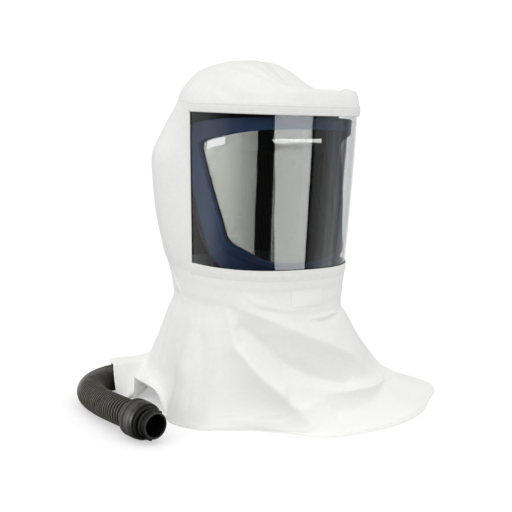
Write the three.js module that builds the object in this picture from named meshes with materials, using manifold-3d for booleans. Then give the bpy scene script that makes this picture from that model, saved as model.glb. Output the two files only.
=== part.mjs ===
// A disposable respirator hood: a white cloth hood with a cape, a clear window sheet sewn into its front,
// and behind the window a hard face shield with a face seal. A carrier band holds the shield and takes the
// air from a corrugated breathing hose, which lies on the table and ends in a cuff and a bayonet spigot.
// Millimetres, +Z up. The face looks along -Y, and the cape lies on the plane Z = 0.

import * as THREE from "three";
import Module from "manifold-3d";
import { mergeVertices } from "three/addons/utils/BufferGeometryUtils.js";

const wasm = await Module();
wasm.setup();

// Sheet thicknesses, and the clearance that pieces keep where they are sewn, clipped or plugged together.
const CLOTH = 1.2;
const BAND_CLOTH = 2.0;
const WINDOW_SHEET = 1.0;
const SHIELD_SHEET = 1.6;
const SEAL_CLOTH = 1.5;
const GAP = 0.35;

// Heights of the hood above the table.
const CROWN_Z = 462;
const WINDOW_TOP_Z = 389.5;
const WINDOW_FOOT_Z = 200;
const BROW_BAND = 13;
const CHIN_BAND = 14;
const RIM_Z = WINDOW_TOP_Z + BROW_BAND;
const SEAM_Z = WINDOW_FOOT_Z - CHIN_BAND;

// Steps of each panel: around the head, and down from edge to edge.
const CROWN_STEPS = 36;
const BACK_STEPS = [32, 8];
const BAND_STEPS = 26;
const WINDOW_STEPS = [26, 4];
const BIB_STEPS = [42, 11];
const BACK_CAPE_FREE_STEPS = 11;
const BACK_CAPE_HOSE_STEPS = 22;
const BACK_CAPE_ROWS = 9;
const SHIELD_STEPS = [28, 3];
const CARRIER_STEPS = 24;

// Angles are in degrees around the head, from the face at 0 to the wearer's left at 90.
const WINDOW_EDGE = table("z angle", [
  [186, 76],
  [240, 76.3],
  [326, 78],
  [406, 79.5],
]);
const WINDOW_LAP_ANGLE = 4;
const WINDOW_LAP = 9;
const BULGE_ANGLE = 108;
const FRONT_SQUARENESS = 2.5;
const BACK_SQUARENESS = 2.15;

// Plan of the hood at each height: half width at the window's edges, reach to the front and to the back,
// and how far the cloth bulges sideways behind the window.
const SECTIONS = table("z halfWidth frontReach backReach sideBulge", [
  [120, 101, 114, 117, 0],
  [148, 101, 115, 116, 0],
  [160, 103, 117, 118, 0],
  [186, 106.5, 120.5, 126, 3],
  [200, 107.5, 122, 131, 6],
  [240, 109, 125.5, 143, 13],
  [280, 110, 128.5, 151, 18],
  [326, 110.8, 132, 156, 21],
  [360, 111.3, 134, 140, 10],
  [391, 111.5, 135.5, 111, -2.5],
  [406, 111.5, 136.5, 98, -7.5],
]);

// Rise of the crown from its rim, as shares of its height, along the way from the crown's middle to the rim:
// the dome at the sides and back, and the lower puffed shelf above the brow band.
const CROWN_MIDDLE_Y = 8;
const CROWN_RISE = table("way dome brow", [
  [0, 1, 1],
  [0.12, 0.99, 0.96],
  [0.25, 0.96, 0.83],
  [0.38, 0.91, 0.65],
  [0.5, 0.84, 0.47],
  [0.6, 0.755, 0.36],
  [0.7, 0.64, 0.3],
  [0.78, 0.53, 0.3],
  [0.85, 0.42, 0.34],
  [0.91, 0.3, 0.38],
  [0.96, 0.18, 0.34],
  [1, 0, 0],
]);
const BROW_START_ANGLES = [-48, -12];
const BROW_END_ANGLES = [62, 100];

// Fall of the cape from the chin seam to its hem: height, and share of the way out from the neck to the hem.
const CAPE_FALL = table("drop z out", [
  [0, 185.65, 0],
  [0.13, 158, 0],
  [0.2, 143, 0],
  [0.3, 122, 0.09],
  [0.42, 94, 0.19],
  [0.54, 65, 0.3],
  [0.66, 36, 0.44],
  [0.77, 17, 0.61],
  [0.87, 6, 0.79],
  [0.95, CLOTH, 0.93],
  [1, CLOTH, 1],
]);
const NECK_DROP = 0.2;
const HEM_DROP = 0.95;

// The hem around the head: how far it reaches from the head's axis, and how far it is lifted off the table.
const HEM = table("angle reach lift", [
  [-180, 205, 0],
  [-160, 212, 0],
  [-142, 212, 0],
  [-132, 203, 0],
  [-124, 197, 0],
  [-117, 191, 3],
  [-112, 166, 10],
  [-109, 156, 30],
  [-104, 145, 27],
  [-97, 137, 23],
  [-91, 136, 15],
  [-84, 137, 5],
  [-76, 147, 0],
  [-68, 154, 0],
  [-55, 153, 0],
  [-40, 140, 0],
  [-29, 136, 0],
  [-12, 150, 0],
  [2, 180, 0],
  [22, 199, 0],
  [45, 227, 0],
  [63, 248, 0],
  [80, 280, 0],
  [93, 268, 0],
  [112, 236, 0],
  [140, 214, 0],
  [165, 206, 0],
  [180, 205, 0],
]);
const BIB_ANGLES = [-93, 96];

// Main folds of the cape, each a line of places with the width and height of a soft ridge (or a valley):
// 1 the drape from the neck down across the bib, 2 the hollow under it, 3 the lower crest that runs to the
// hem, 4 the mouth where the drape rolls over, 5 to 9 soft folds at the sides and the back.
const CAPE_FOLDS = table("fold angle drop width height", [
  [1, -43, 0.14, 13, 2],
  [1, -25, 0.2, 14, 6],
  [1, -7, 0.29, 16, 9],
  [1, 15, 0.4, 18, 11],
  [1, 32, 0.52, 18, 12],
  [1, 46, 0.64, 18, 9],
  [2, -38, 0.27, 10, -2],
  [2, -24, 0.385, 12, -7],
  [2, -12, 0.485, 13, -9],
  [2, 5, 0.56, 13, -9],
  [2, 24, 0.66, 13, -6],
  [3, -41, 0.295, 11, 3],
  [3, -24, 0.5, 12, 6],
  [3, -11, 0.605, 13, 7],
  [3, -2, 0.715, 13, 7],
  [3, 2, 0.9, 14, 6],
  [4, 12, 0.74, 12, -3],
  [4, 26, 0.785, 12, -5],
  [4, 40, 0.755, 12, -5],
  [4, 54, 0.7, 12, -2],
  [5, 66, 0.3, 16, 4],
  [5, 72, 0.9, 18, 7],
  [6, -70, 0.35, 15, 5],
  [6, -66, 0.62, 12, -3],
  [6, -64, 0.75, 12, -4],
  [7, 120, 0.35, 20, 9],
  [7, 128, 0.95, 24, 9],
  [8, 150, 0.4, 18, -5],
  [8, 154, 0.9, 18, -5],
  [9, 172, 0.35, 20, 7],
  [9, 178, 0.95, 24, 8],
]);
// Millimetres on the cape for one degree around the head, and for the whole drop.
const FOLD_SCALE = new THREE.Vector2(2.6, 230);

// The face shield's frame, from the middle of the brow round the wearer's left side to the middle of the
// chin: the edge of its opening, its outer rim, and the height of the bead along the opening.
const FRAME_SETBACK = 7;
const TEMPLE_SETBACK = WINDOW_SHEET + GAP;
const TEMPLE_ANGLES = [48, 80];
const FRAME_DEPTH = 4;
const FRAME = table("row openAngle openZ rimAngle rimZ bead", [
  [0, 0, 373, 0, 387, 0],
  [1, 20, 372, 20, 386.5, 0],
  [2, 38, 367.5, 40, 382.5, 0],
  [3, 54, 361, 60, 373, 0],
  [4, 66, 355, 79, 362, 0],
  [5, 70, 348, 88, 347, 0],
  [6, 66, 324, 85, 316, 0],
  [7, 59, 290, 76, 286, 0.4],
  [8, 53, 260, 70, 254, 1],
  [9, 48, 235, 60, 212, 1.5],
  [10, 39, 225, 47, 193, 1.5],
  [11, 29, 216, 32, 186, 1.5],
  [12, 19, 208.5, 19, 182, 1.2],
  [13, 0, 205, 0, 180, 1],
]);
const FRAME_ACROSS = table("across bead", [
  [0, 0],
  [0.28, 1],
  [0.42, 0],
  [0.72, 0],
  [1, 0],
]);
const FRAME_LAST_ROW = FRAME.length - 1;
const FRAME_STEPS_PER_ROW = 2;
const VISOR_SEAT = 0.8;
const VISOR_LAP = 6;
const VISOR_LAP_ANGLE = 2.5;
const VISOR_CORNER_ROW = 5;

// Thin bare plates: a tab on the shield visor's upper corner, and a label on the bib.
const TAB = { angles: [-65, -50.5], clear: 1.2, height: 9.5, thickness: 0.5, steps: 4 };
const LABEL = { angles: [-7.5, 13.5], drops: [0.05, 0.145], thickness: 0.5, steps: [4, 3] };

// The face seal runs back from the frame's rim and turns in to an oval around the face.
const SEAL_RIM = 0.93;
const FACE_Z = 295;
const FACE_HALF_WIDTH = 76;
const FACE_HALF_HEIGHT = 84;
const FACE_BROW_Y = -70;
const FACE_TEMPLE_Y = 10;
const FACE_CHIN_Y = -45;
const SEAL_WAY = table("row back inward", [
  [0, 0, 0],
  [1, 0.45, 0.06],
  [2, 0.85, 0.28],
  [3, 1, 0.65],
  [4, 1, 1],
]);

// The carrier band behind the shield, with the duct and the socket for the hose at the nape.
const CARRIER = { z: 348, height: 26, thickness: 3, halfWidth: 105, backReach: 101, startAngle: 88.2 };
const DUCT = { width: 40, depth: 18, topZ: 358, footZ: 236 };
const SOCKET = { radius: 22, footZ: 222, height: 20, sides: 20 };

// The breathing hose, from the socket at the nape to the cuff.
const HOSE_RADIUS = 18;
const HOSE_SIDES = 10;
const HOSE_STEPS = 26;
const HOSE_LIE_Z = HOSE_RADIUS + 0.2;
const HOSE_X = 0;
const HOSE_Y = 84;
const CUFF_AT = new THREE.Vector3(-204.7, -71.3, 23.7);
const CUFF_TURN = 12;
const HOSE_ROUTE = [
  [HOSE_X, HOSE_Y, SOCKET.footZ - GAP],
  [HOSE_X, HOSE_Y, 190],
  [HOSE_X, HOSE_Y, 165],
  [-1, 84.5, 138],
  [-8, 86.5, 104],
  [-29, 91.5, 66],
  [-61, 99.5, 36.5],
  [-91, 107.5, 22.5],
  [-116, 113.5, HOSE_LIE_Z],
  [-139.5, 115.6, HOSE_LIE_Z],
  [-160, 111.3, HOSE_LIE_Z],
  [-178.5, 102, HOSE_LIE_Z],
  [-194, 88, HOSE_LIE_Z],
  [-205.5, 70.7, HOSE_LIE_Z],
  [-212, 51, HOSE_LIE_Z],
  [-213.6, 30, HOSE_LIE_Z],
  [-213, 1, HOSE_LIE_Z + 1.4],
  [-211.4, -27, HOSE_LIE_Z + 3.7],
  [-209.4, -47.5, HOSE_LIE_Z + 5.1],
  [-207.2, -59.5, CUFF_AT.z],
  [CUFF_AT.x, CUFF_AT.y, CUFF_AT.z],
];
const TENT_CLEAR = 3.5;
const TENT_SLOPE = 2;
const TENT_SOFTNESS = 8;
const TENT_TOP_Z = 78;
const TENT_POINTS = 120;

// Profiles of the cuff and the spigot: distance along the hose's axis, and radius.
const BORE_RADIUS = 13.5;
const CUFF_LENGTH = 27;
const CUFF_PROFILE = [[0, 19.5], [2, 22.5], [5, 23.5], [19, 23.5], [22, 22.6], [CUFF_LENGTH, 22.6]];
const SPIGOT_LENGTH = 19;
const SPIGOT_PROFILE = [[0, 19.5], [3, 19.5], [3, 15.6], [7, 15.6], [7, 17.4], [10, 17.4], [10, 16.4],
  [SPIGOT_LENGTH, 16.4]];
const SPIGOT_SIDES = 24;
const LUG = { length: 5, width: 6, height: 3.2, root: 1, fromEnd: 2, turn: -66 };

const CLOTH_WHITE = { color: 0xeeeeec, roughness: 0.85, metalness: 0 };
const CLEAR_SHEET = { color: 0xf2f4f4, roughness: 0.05, metalness: 0, transparent: true, opacity: 0.2 };
const NAVY_PLASTIC = { color: 0x26334d, roughness: 0.45, metalness: 0 };
const DARK_KNIT = { color: 0x2c2d2b, roughness: 0.9, metalness: 0 };
const BLACK_PLASTIC = { color: 0x1c1c1c, roughness: 0.5, metalness: 0 };
const BLACK_RUBBER = { color: 0x242424, roughness: 0.65, metalness: 0 };

// Gives names to the columns of a table.
function table(columns, rows) {
  const names = columns.split(" ");
  return rows.map((row) => Object.fromEntries(names.map((name, i) => [name, row[i]])));
}

// Reads a column at a place between the rows, on a smooth curve that never passes beyond its rows.
function between(rows, column, place) {
  const key = Object.keys(rows[0])[0];
  const last = rows.length - 1;
  const at = THREE.MathUtils.clamp(place, rows[0][key], rows[last][key]);
  const i = Math.min(Math.max(rows.findIndex((row) => row[key] >= at), 1), last) - 1;
  const slope = (k) => (rows[k + 1][column] - rows[k][column]) / (rows[k + 1][key] - rows[k][key]);
  const tangent = (k) => {
    if (k === 0) return slope(0);
    if (k === last) return slope(last - 1);
    const product = slope(k - 1) * slope(k);
    return product > 0 ? (2 * product) / (slope(k - 1) + slope(k)) : 0;
  };
  const width = rows[i + 1][key] - rows[i][key];
  const t = (at - rows[i][key]) / width;
  const toNext = t * t * (3 - 2 * t);
  const values = THREE.MathUtils.lerp(rows[i][column], rows[i + 1][column], toNext);
  const slopes = tangent(i) * t * (1 - t) ** 2 - tangent(i + 1) * t ** 2 * (1 - t);
  return values + slopes * width;
}

function steps(from, to, count) {
  return Array.from({ length: count + 1 }, (_, i) => from + ((to - from) * i) / count);
}

// The same direction as an angle from -180 to 180.
function signed(angle) {
  return angle > 180 ? angle - 360 : angle;
}

function around(angle, radius, z) {
  const turn = THREE.MathUtils.degToRad(angle);
  return new THREE.Vector3(radius * Math.sin(turn), -radius * Math.cos(turn), z);
}

// Angle that a clearance takes at a given reach from the head's axis.
function gapAngle(reach) {
  return THREE.MathUtils.radToDeg(GAP / reach);
}

// Reach of the hood's plan outline from the head's axis: the outer face of the window sheet in front,
// and the same line carried round the sides and the back.
function planReach(angle, z, bulge) {
  const turn = THREE.MathUtils.degToRad(angle);
  const front = Math.cos(turn) > 0;
  const halfWidth = between(SECTIONS, "halfWidth", z) + bulge;
  const depth = between(SECTIONS, front ? "frontReach" : "backReach", z);
  const power = front ? FRONT_SQUARENESS : BACK_SQUARENESS;
  const sideways = (Math.abs(Math.sin(turn)) / halfWidth) ** power;
  const lengthways = (Math.abs(Math.cos(turn)) / depth) ** power;
  return (sideways + lengthways) ** (-1 / power);
}

function windowReach(angle, z) {
  return planReach(angle, z, 0);
}

// Angle of the window's side edge at a height.
function windowEdge(z) {
  return between(WINDOW_EDGE, "angle", z);
}

function clothReach(angle, z) {
  const bulge = between(SECTIONS, "sideBulge", z);
  const share = THREE.MathUtils.smoothstep(Math.abs(angle), windowEdge(z) + WINDOW_LAP_ANGLE, BULGE_ANGLE);
  return planReach(angle, z, bulge * share) + GAP + CLOTH;
}

// One closed solid from triangles, with points at the same place shared and the faces turned outwards.
function solidFrom(triangles) {
  const positions = [];
  const known = new Map();
  const indexOf = (point) => {
    const key = point.toArray().map((value) => Math.round(value * 1e4)).join();
    if (!known.has(key)) {
      known.set(key, positions.length / 3);
      positions.push(...point.toArray());
    }
    return known.get(key);
  };
  const index = [];
  let volume = 0;
  for (const [a, b, c] of triangles) {
    const corners = [indexOf(a), indexOf(b), indexOf(c)];
    if (new Set(corners).size === 3) {
      index.push(...corners);
      volume += a.dot(b.clone().cross(c));
    }
  }
  const geometry = new THREE.BufferGeometry();
  geometry.setAttribute("position", new THREE.Float32BufferAttribute(positions, 3));
  geometry.setIndex(volume > 0 ? index : index.reverse());
  return geometry;
}

function quad(a, b, c, d) {
  return [[a, b, c], [a, c, d]];
}

// Directions square to a grid of points, turned away from the head's foot point.
function gridNormals(columns) {
  const sums = new Map();
  const keyOf = (point) => point.toArray().map((value) => Math.round(value * 1e4)).join();
  let away = 0;
  for (let i = 0; i + 1 < columns.length; i += 1) {
    for (let j = 0; j + 1 < columns[i].length; j += 1) {
      const corners = [columns[i][j], columns[i + 1][j], columns[i + 1][j + 1], columns[i][j + 1]];
      const across = corners[2].clone().sub(corners[0]);
      const normal = across.cross(corners[3].clone().sub(corners[1]));
      away += normal.dot(corners[0]);
      for (const corner of corners) {
        const sum = sums.get(keyOf(corner)) ?? new THREE.Vector3();
        sums.set(keyOf(corner), sum.add(normal));
      }
    }
  }
  const sign = Math.sign(away);
  return (point) => sums.get(keyOf(point)).clone().normalize().multiplyScalar(sign);
}

// A closed wall under a grid of outer points, which may close on itself as a ring. In the rows that are
// sewn or glued to another piece, the edge of the wall is level.
function wall(columns, thickness, { ring = false, levelRows = [] } = {}) {
  const normalAt = gridNormals(columns);
  const inward = (point, row) => {
    const normal = normalAt(point);
    if (levelRows.includes(row)) normal.setZ(0).normalize();
    const under = point.clone().addScaledVector(normal, -thickness);
    under.z = point.z > CLOTH ? Math.max(under.z, 0) : 0;
    return under;
  };
  const inner = columns.map((column) => column.map(inward));
  const lastColumn = columns.length - 1;
  const lastRow = columns[0].length - 1;
  const triangles = [];
  for (let i = 0; i < lastColumn; i += 1) {
    const [outA, outB] = [columns[i], columns[i + 1]];
    const [inA, inB] = [inner[i], inner[i + 1]];
    for (let j = 0; j < lastRow; j += 1) {
      triangles.push(...quad(outA[j], outB[j], outB[j + 1], outA[j + 1]));
      triangles.push(...quad(inA[j], inA[j + 1], inB[j + 1], inB[j]));
    }
    triangles.push(...quad(outB[0], outA[0], inA[0], inB[0]));
    triangles.push(...quad(outA[lastRow], outB[lastRow], inB[lastRow], inA[lastRow]));
  }
  for (let j = 0; j < lastRow && !ring; j += 1) {
    const [outA, outB] = [columns[0], columns[lastColumn]];
    const [inA, inB] = [inner[0], inner[lastColumn]];
    triangles.push(...quad(outA[j], outA[j + 1], inA[j + 1], inA[j]));
    triangles.push(...quad(outB[j + 1], outB[j], inB[j], inB[j + 1]));
  }
  return solidFrom(triangles);
}

// A closed ring swept through a loop of sections.
function sweptRing(sections) {
  const triangles = [];
  for (let i = 0; i < sections.length; i += 1) {
    const here = sections[i];
    const next = sections[(i + 1) % sections.length];
    for (let k = 0; k < here.length; k += 1) {
      const after = (k + 1) % here.length;
      triangles.push(...quad(here[k], next[k], next[after], here[after]));
    }
  }
  return solidFrom(triangles);
}

// Crown: a dome over the head that falls to a low puffed shelf above the brow band.
function crownPanel() {
  const columns = steps(-180, 180, CROWN_STEPS).map((angle) => {
    const rim = around(angle, clothReach(angle, RIM_Z), RIM_Z + GAP);
    const begun = THREE.MathUtils.smoothstep(angle, ...BROW_START_ANGLES);
    const brow = begun * (1 - THREE.MathUtils.smoothstep(angle, ...BROW_END_ANGLES));
    return CROWN_RISE.map((row) => {
      const rise = row.dome + (row.brow - row.dome) * brow;
      const y = THREE.MathUtils.lerp(CROWN_MIDDLE_Y, rim.y, row.way);
      return new THREE.Vector3(rim.x * row.way, y, rim.z + rise * (CROWN_Z - rim.z));
    });
  });
  return wall(columns, CLOTH, { ring: true, levelRows: [CROWN_RISE.length - 1] });
}

// A strip of sheet or cloth that follows the hood's plan, over a span of angles that may change with height.
function strip(count, heights, spanAt, reachAt, thickness) {
  const columns = steps(0, 1, count).map((share) => heights.map((z) => {
    const angle = THREE.MathUtils.lerp(...spanAt(z), share);
    return around(angle, reachAt(angle, z), z);
  }));
  return wall(columns, thickness, { levelRows: [0, heights.length - 1] });
}

function backPanel() {
  const reachAt = (angle, z) => clothReach(signed(angle), z);
  const spanAt = (z) => {
    const edge = windowEdge(z) + gapAngle(windowReach(windowEdge(z), z));
    return [edge, 360 - edge];
  };
  const [count, rows] = BACK_STEPS;
  return strip(count, steps(RIM_Z, SEAM_Z, rows), spanAt, reachAt, CLOTH);
}

function band(topZ, footZ) {
  const reachAt = (angle, z) => windowReach(angle, z) + GAP + BAND_CLOTH;
  const spanAt = (z) => {
    const edge = windowEdge(z) - gapAngle(windowReach(windowEdge(z), z));
    return [-edge, edge];
  };
  return strip(BAND_STEPS, [topZ, footZ], spanAt, reachAt, BAND_CLOTH);
}

function hoodVisor() {
  const [count, rows] = WINDOW_STEPS;
  const heights = steps(WINDOW_TOP_Z + WINDOW_LAP, WINDOW_FOOT_Z - WINDOW_LAP, rows);
  const spanAt = (z) => [-windowEdge(z) - WINDOW_LAP_ANGLE, windowEdge(z) + WINDOW_LAP_ANGLE];
  return strip(count, heights, spanAt, windowReach, WINDOW_SHEET);
}

// Height of the folds on the cape at one place. Each fold counts at the nearest place on its line.
function foldHeight(angle, drop) {
  const nearest = new Map();
  for (let i = 0; i + 1 < CAPE_FOLDS.length; i += 1) {
    const [from, to] = [CAPE_FOLDS[i], CAPE_FOLDS[i + 1]];
    if (from.fold !== to.fold) continue;
    const along = new THREE.Vector2(to.angle - from.angle, to.drop - from.drop).multiply(FOLD_SCALE);
    const here = new THREE.Vector2(angle - from.angle, drop - from.drop).multiply(FOLD_SCALE);
    const share = THREE.MathUtils.clamp(here.dot(along) / along.lengthSq(), 0, 1);
    const away = here.distanceTo(along.multiplyScalar(share));
    if (away >= (nearest.get(from.fold)?.away ?? Infinity)) continue;
    const width = THREE.MathUtils.lerp(from.width, to.width, share);
    const height = THREE.MathUtils.lerp(from.height, to.height, share);
    nearest.set(from.fold, { away, width, height });
  }
  let sum = 0;
  for (const { away, width, height } of nearest.values()) {
    sum += height * Math.exp(-((away / width) ** 2));
  }
  return sum;
}

const hoseCurve = new THREE.CatmullRomCurve3(HOSE_ROUTE.map((point) => new THREE.Vector3(...point)));
const hoseLow = hoseCurve.getSpacedPoints(TENT_POINTS).filter((point) => point.z < TENT_TOP_Z);

// Height at which cloth that hangs over the lying hose is held up by it.
function overHose(x, y) {
  let height = 0;
  for (const point of hoseLow) {
    const away = Math.hypot(x - point.x, y - point.y);
    const fall = Math.max(0, away - HOSE_RADIUS) * TENT_SLOPE;
    height = Math.max(height, point.z + HOSE_RADIUS + TENT_CLEAR - fall);
  }
  return height;
}

// The higher of two heights, with a soft bend where they meet.
function softMax(a, b) {
  return (a + b + Math.hypot(a - b, TENT_SOFTNESS)) / 2;
}

// A place on the cape's outer face before the floor and the hose hold it up.
function freeCape(angle, drop) {
  const z = between(CAPE_FALL, "z", drop);
  const out = between(CAPE_FALL, "out", drop);
  const neck = clothReach(angle, Math.max(z, between(CAPE_FALL, "z", NECK_DROP)));
  const reach = neck + (between(HEM, "reach", angle) - neck) * out;
  return around(angle, reach, z + between(HEM, "lift", angle) * out ** 2);
}

function capePoint(angle, drop) {
  const step = 0.01;
  const point = freeCape(angle, drop);
  const across = freeCape(angle + 1, drop).sub(freeCape(angle - 1, drop));
  const down = freeCape(angle, Math.min(drop + step, 1)).sub(freeCape(angle, Math.max(drop - step, 0)));
  const normal = down.cross(across).normalize();
  const held = THREE.MathUtils.smoothstep(drop, 0, NECK_DROP);
  const freed = 1 - THREE.MathUtils.smoothstep(drop, HEM_DROP - NECK_DROP, HEM_DROP);
  point.addScaledVector(normal, foldHeight(angle, drop) * held * freed);
  const tent = overHose(point.x, point.y);
  if (tent > 0) point.z = softMax(point.z, tent);
  point.z = Math.max(point.z, CLOTH);
  return point;
}

// A panel of the cape, with a strip along the hem that lies on the table.
function capePanel(angles, rows) {
  const drops = [...steps(0, HEM_DROP, rows), 1];
  const columns = angles.map((angle) => drops.map((drop) => capePoint(signed(angle), drop)));
  return wall(columns, CLOTH, { levelRows: [0] });
}

function frontBib() {
  const [count, rows] = BIB_STEPS;
  return capePanel(steps(...BIB_ANGLES, count), rows);
}

// The back of the cape, with closer steps where it lies over the hose.
function backCape() {
  const seamGap = gapAngle(planReach(BIB_ANGLES[0], SEAM_Z, 0));
  const free = steps(BIB_ANGLES[1] + seamGap, 180, BACK_CAPE_FREE_STEPS);
  const draped = steps(180, BIB_ANGLES[0] + 360 - seamGap, BACK_CAPE_HOSE_STEPS);
  return capePanel([...free.slice(0, -1), ...draped], BACK_CAPE_ROWS);
}

// A place on the face shield's front face, or at a depth behind it.
function shieldPoint(angle, z, depth) {
  const temple = THREE.MathUtils.smoothstep(Math.abs(angle), ...TEMPLE_ANGLES);
  const setback = THREE.MathUtils.lerp(FRAME_SETBACK, TEMPLE_SETBACK, temple);
  return around(angle, windowReach(angle, z) - setback - depth, z);
}

// Stations around the shield frame, down one side and up the other.
function frameStations() {
  const rows = steps(0, FRAME_LAST_ROW, FRAME_LAST_ROW * FRAME_STEPS_PER_ROW);
  const half = rows.map((row) => {
    const names = Object.keys(FRAME[0]).slice(1);
    return Object.fromEntries(names.map((name) => [name, between(FRAME, name, row)]));
  });
  const mirrored = half.slice(1, -1).reverse().map((station) => ({
    ...station,
    openAngle: -station.openAngle,
    rimAngle: -station.rimAngle,
  }));
  return [...half, ...mirrored];
}

// A place across the frame, from its opening at 0 to its rim at 1.
function framePoint(station, across, depth) {
  const angle = THREE.MathUtils.lerp(station.openAngle, station.rimAngle, across);
  const z = THREE.MathUtils.lerp(station.openZ, station.rimZ, across);
  return shieldPoint(angle, z, depth);
}

function shieldFrame() {
  const sections = frameStations().map((station) => {
    const front = FRAME_ACROSS.map((row) => framePoint(station, row.across, -row.bead * station.bead));
    const back = FRAME_ACROSS.map((row) => framePoint(station, row.across, FRAME_DEPTH));
    return [...front, ...back.reverse()];
  });
  return sweptRing(sections);
}

// Upper and lower edge of the shield's opening at an angle, read from the frame's rows.
function openingEdges(angle) {
  const brow = FRAME.slice(0, VISOR_CORNER_ROW);
  const chin = FRAME.slice(VISOR_CORNER_ROW).reverse();
  const byAngle = (rows) => rows.map((row) => ({ angle: row.openAngle, z: row.openZ }));
  return {
    top: between(byAngle(brow), "z", Math.abs(angle)),
    foot: between(byAngle(chin), "z", Math.abs(angle)),
  };
}

function shieldVisor() {
  const corner = FRAME[VISOR_CORNER_ROW].openAngle;
  const [count, rows] = SHIELD_STEPS;
  const columns = steps(-1, 1, count).map((share) => {
    const edges = openingEdges(share * corner);
    const heights = steps(edges.top + VISOR_LAP, edges.foot - VISOR_LAP, rows);
    return heights.map((z) => shieldPoint(share * (corner + VISOR_LAP_ANGLE), z, FRAME_DEPTH + VISOR_SEAT));
  });
  return wall(columns, SHIELD_SHEET);
}

function visorTab() {
  const columns = steps(0, 1, TAB.steps).map((share) => {
    const angle = THREE.MathUtils.lerp(...TAB.angles, share);
    const top = openingEdges(angle).top - TAB.clear;
    const depth = FRAME_DEPTH + VISOR_SEAT - GAP - TAB.thickness;
    return [top, top - TAB.height].map((z) => shieldPoint(angle, z, depth));
  });
  return wall(columns, TAB.thickness);
}

function bibLabel() {
  const [count, rows] = LABEL.steps;
  const columns = steps(...LABEL.angles, count).map((angle) => {
    return steps(...LABEL.drops, rows).map((drop) => {
      const point = capePoint(angle, drop);
      const reach = Math.hypot(point.x, point.y) + GAP + LABEL.thickness;
      return around(angle, reach, point.z);
    });
  });
  return wall(columns, LABEL.thickness);
}

// Face seal: a bag of knit between the frame's rim and an oval around the face.
function faceSeal() {
  const stations = frameStations();
  const columns = [...stations, stations[0]].map((station) => {
    const start = framePoint(station, SEAL_RIM, FRAME_DEPTH + GAP);
    const clock = Math.atan2(start.x, start.z - FACE_Z);
    const endY = Math.cos(clock) > 0 ? FACE_BROW_Y : FACE_CHIN_Y;
    const end = new THREE.Vector3(
      FACE_HALF_WIDTH * Math.sin(clock),
      THREE.MathUtils.lerp(FACE_TEMPLE_Y, endY, Math.cos(clock) ** 2),
      FACE_Z + FACE_HALF_HEIGHT * Math.cos(clock),
    );
    return SEAL_WAY.map((row) => new THREE.Vector3(
      THREE.MathUtils.lerp(start.x, end.x, row.inward),
      THREE.MathUtils.lerp(start.y, end.y, row.back),
      THREE.MathUtils.lerp(start.z, end.z, row.inward),
    ));
  });
  return wall(columns, SEAL_CLOTH, { ring: true });
}

// Solids for joining, and back to a geometry.
function manifoldOf(geometry) {
  const bare = geometry.clone();
  bare.deleteAttribute("normal");
  bare.deleteAttribute("uv");
  const merged = mergeVertices(bare, 1e-4);
  const vertProperties = new Float32Array(merged.attributes.position.array);
  const triVerts = new Uint32Array(merged.index.array);
  return new wasm.Manifold(new wasm.Mesh({ numProp: 3, vertProperties, triVerts }));
}

function geometryOf(manifold) {
  const mesh = manifold.getMesh();
  const geometry = new THREE.BufferGeometry();
  geometry.setAttribute("position", new THREE.Float32BufferAttribute(mesh.vertProperties, 3));
  geometry.setIndex(Array.from(mesh.triVerts));
  return geometry;
}

function joined(geometries) {
  return geometryOf(geometries.map(manifoldOf).reduce((whole, part) => whole.add(part)));
}

// Carrier: a band behind the temples, a flat duct down the nape and a round socket for the hose.
function airCarrier() {
  const heights = [CARRIER.z + CARRIER.height / 2, CARRIER.z - CARRIER.height / 2];
  const reachAt = (angle) => {
    const turn = THREE.MathUtils.degToRad(angle);
    return 1 / Math.hypot(Math.sin(turn) / CARRIER.halfWidth, Math.cos(turn) / CARRIER.backReach);
  };
  const spanAt = () => [CARRIER.startAngle, 360 - CARRIER.startAngle];
  const bandSolid = strip(CARRIER_STEPS, heights, spanAt, reachAt, CARRIER.thickness);
  const ductBack = CARRIER.backReach - CARRIER.thickness / 2;
  const duct = new THREE.BoxGeometry(DUCT.width, DUCT.depth, DUCT.topZ - DUCT.footZ);
  duct.translate(HOSE_X, ductBack - DUCT.depth / 2, (DUCT.topZ + DUCT.footZ) / 2);
  const socket = new THREE.CylinderGeometry(SOCKET.radius, SOCKET.radius, SOCKET.height, SOCKET.sides);
  socket.rotateX(Math.PI / 2);
  socket.translate(HOSE_X, HOSE_Y, SOCKET.footZ + SOCKET.height / 2);
  return joined([bandSolid, duct, socket]);
}

function breathingHose() {
  const outline = steps(0, 360, HOSE_SIDES).slice(0, HOSE_SIDES).map((angle) => {
    const turn = THREE.MathUtils.degToRad(angle);
    return new THREE.Vector2(HOSE_RADIUS * Math.cos(turn), HOSE_RADIUS * Math.sin(turn));
  });
  const options = { steps: HOSE_STEPS, bevelEnabled: false, extrudePath: hoseCurve };
  return new THREE.ExtrudeGeometry(new THREE.Shape(outline), options);
}

// A turned tube along the hose's axis, which runs down the lathe's axis.
function turnedTube(profile) {
  const outside = profile.map(([along, radius]) => new THREE.Vector2(radius, -along)).reverse();
  const length = profile[profile.length - 1][0];
  const bore = [new THREE.Vector2(BORE_RADIUS, 0), new THREE.Vector2(BORE_RADIUS, -length)];
  const outline = [...bore, ...outside, bore[0].clone()];
  const geometry = new THREE.LatheGeometry(outline, SPIGOT_SIDES);
  geometry.deleteAttribute("normal");
  geometry.deleteAttribute("uv");
  return mergeVertices(geometry, 1e-4);
}

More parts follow.
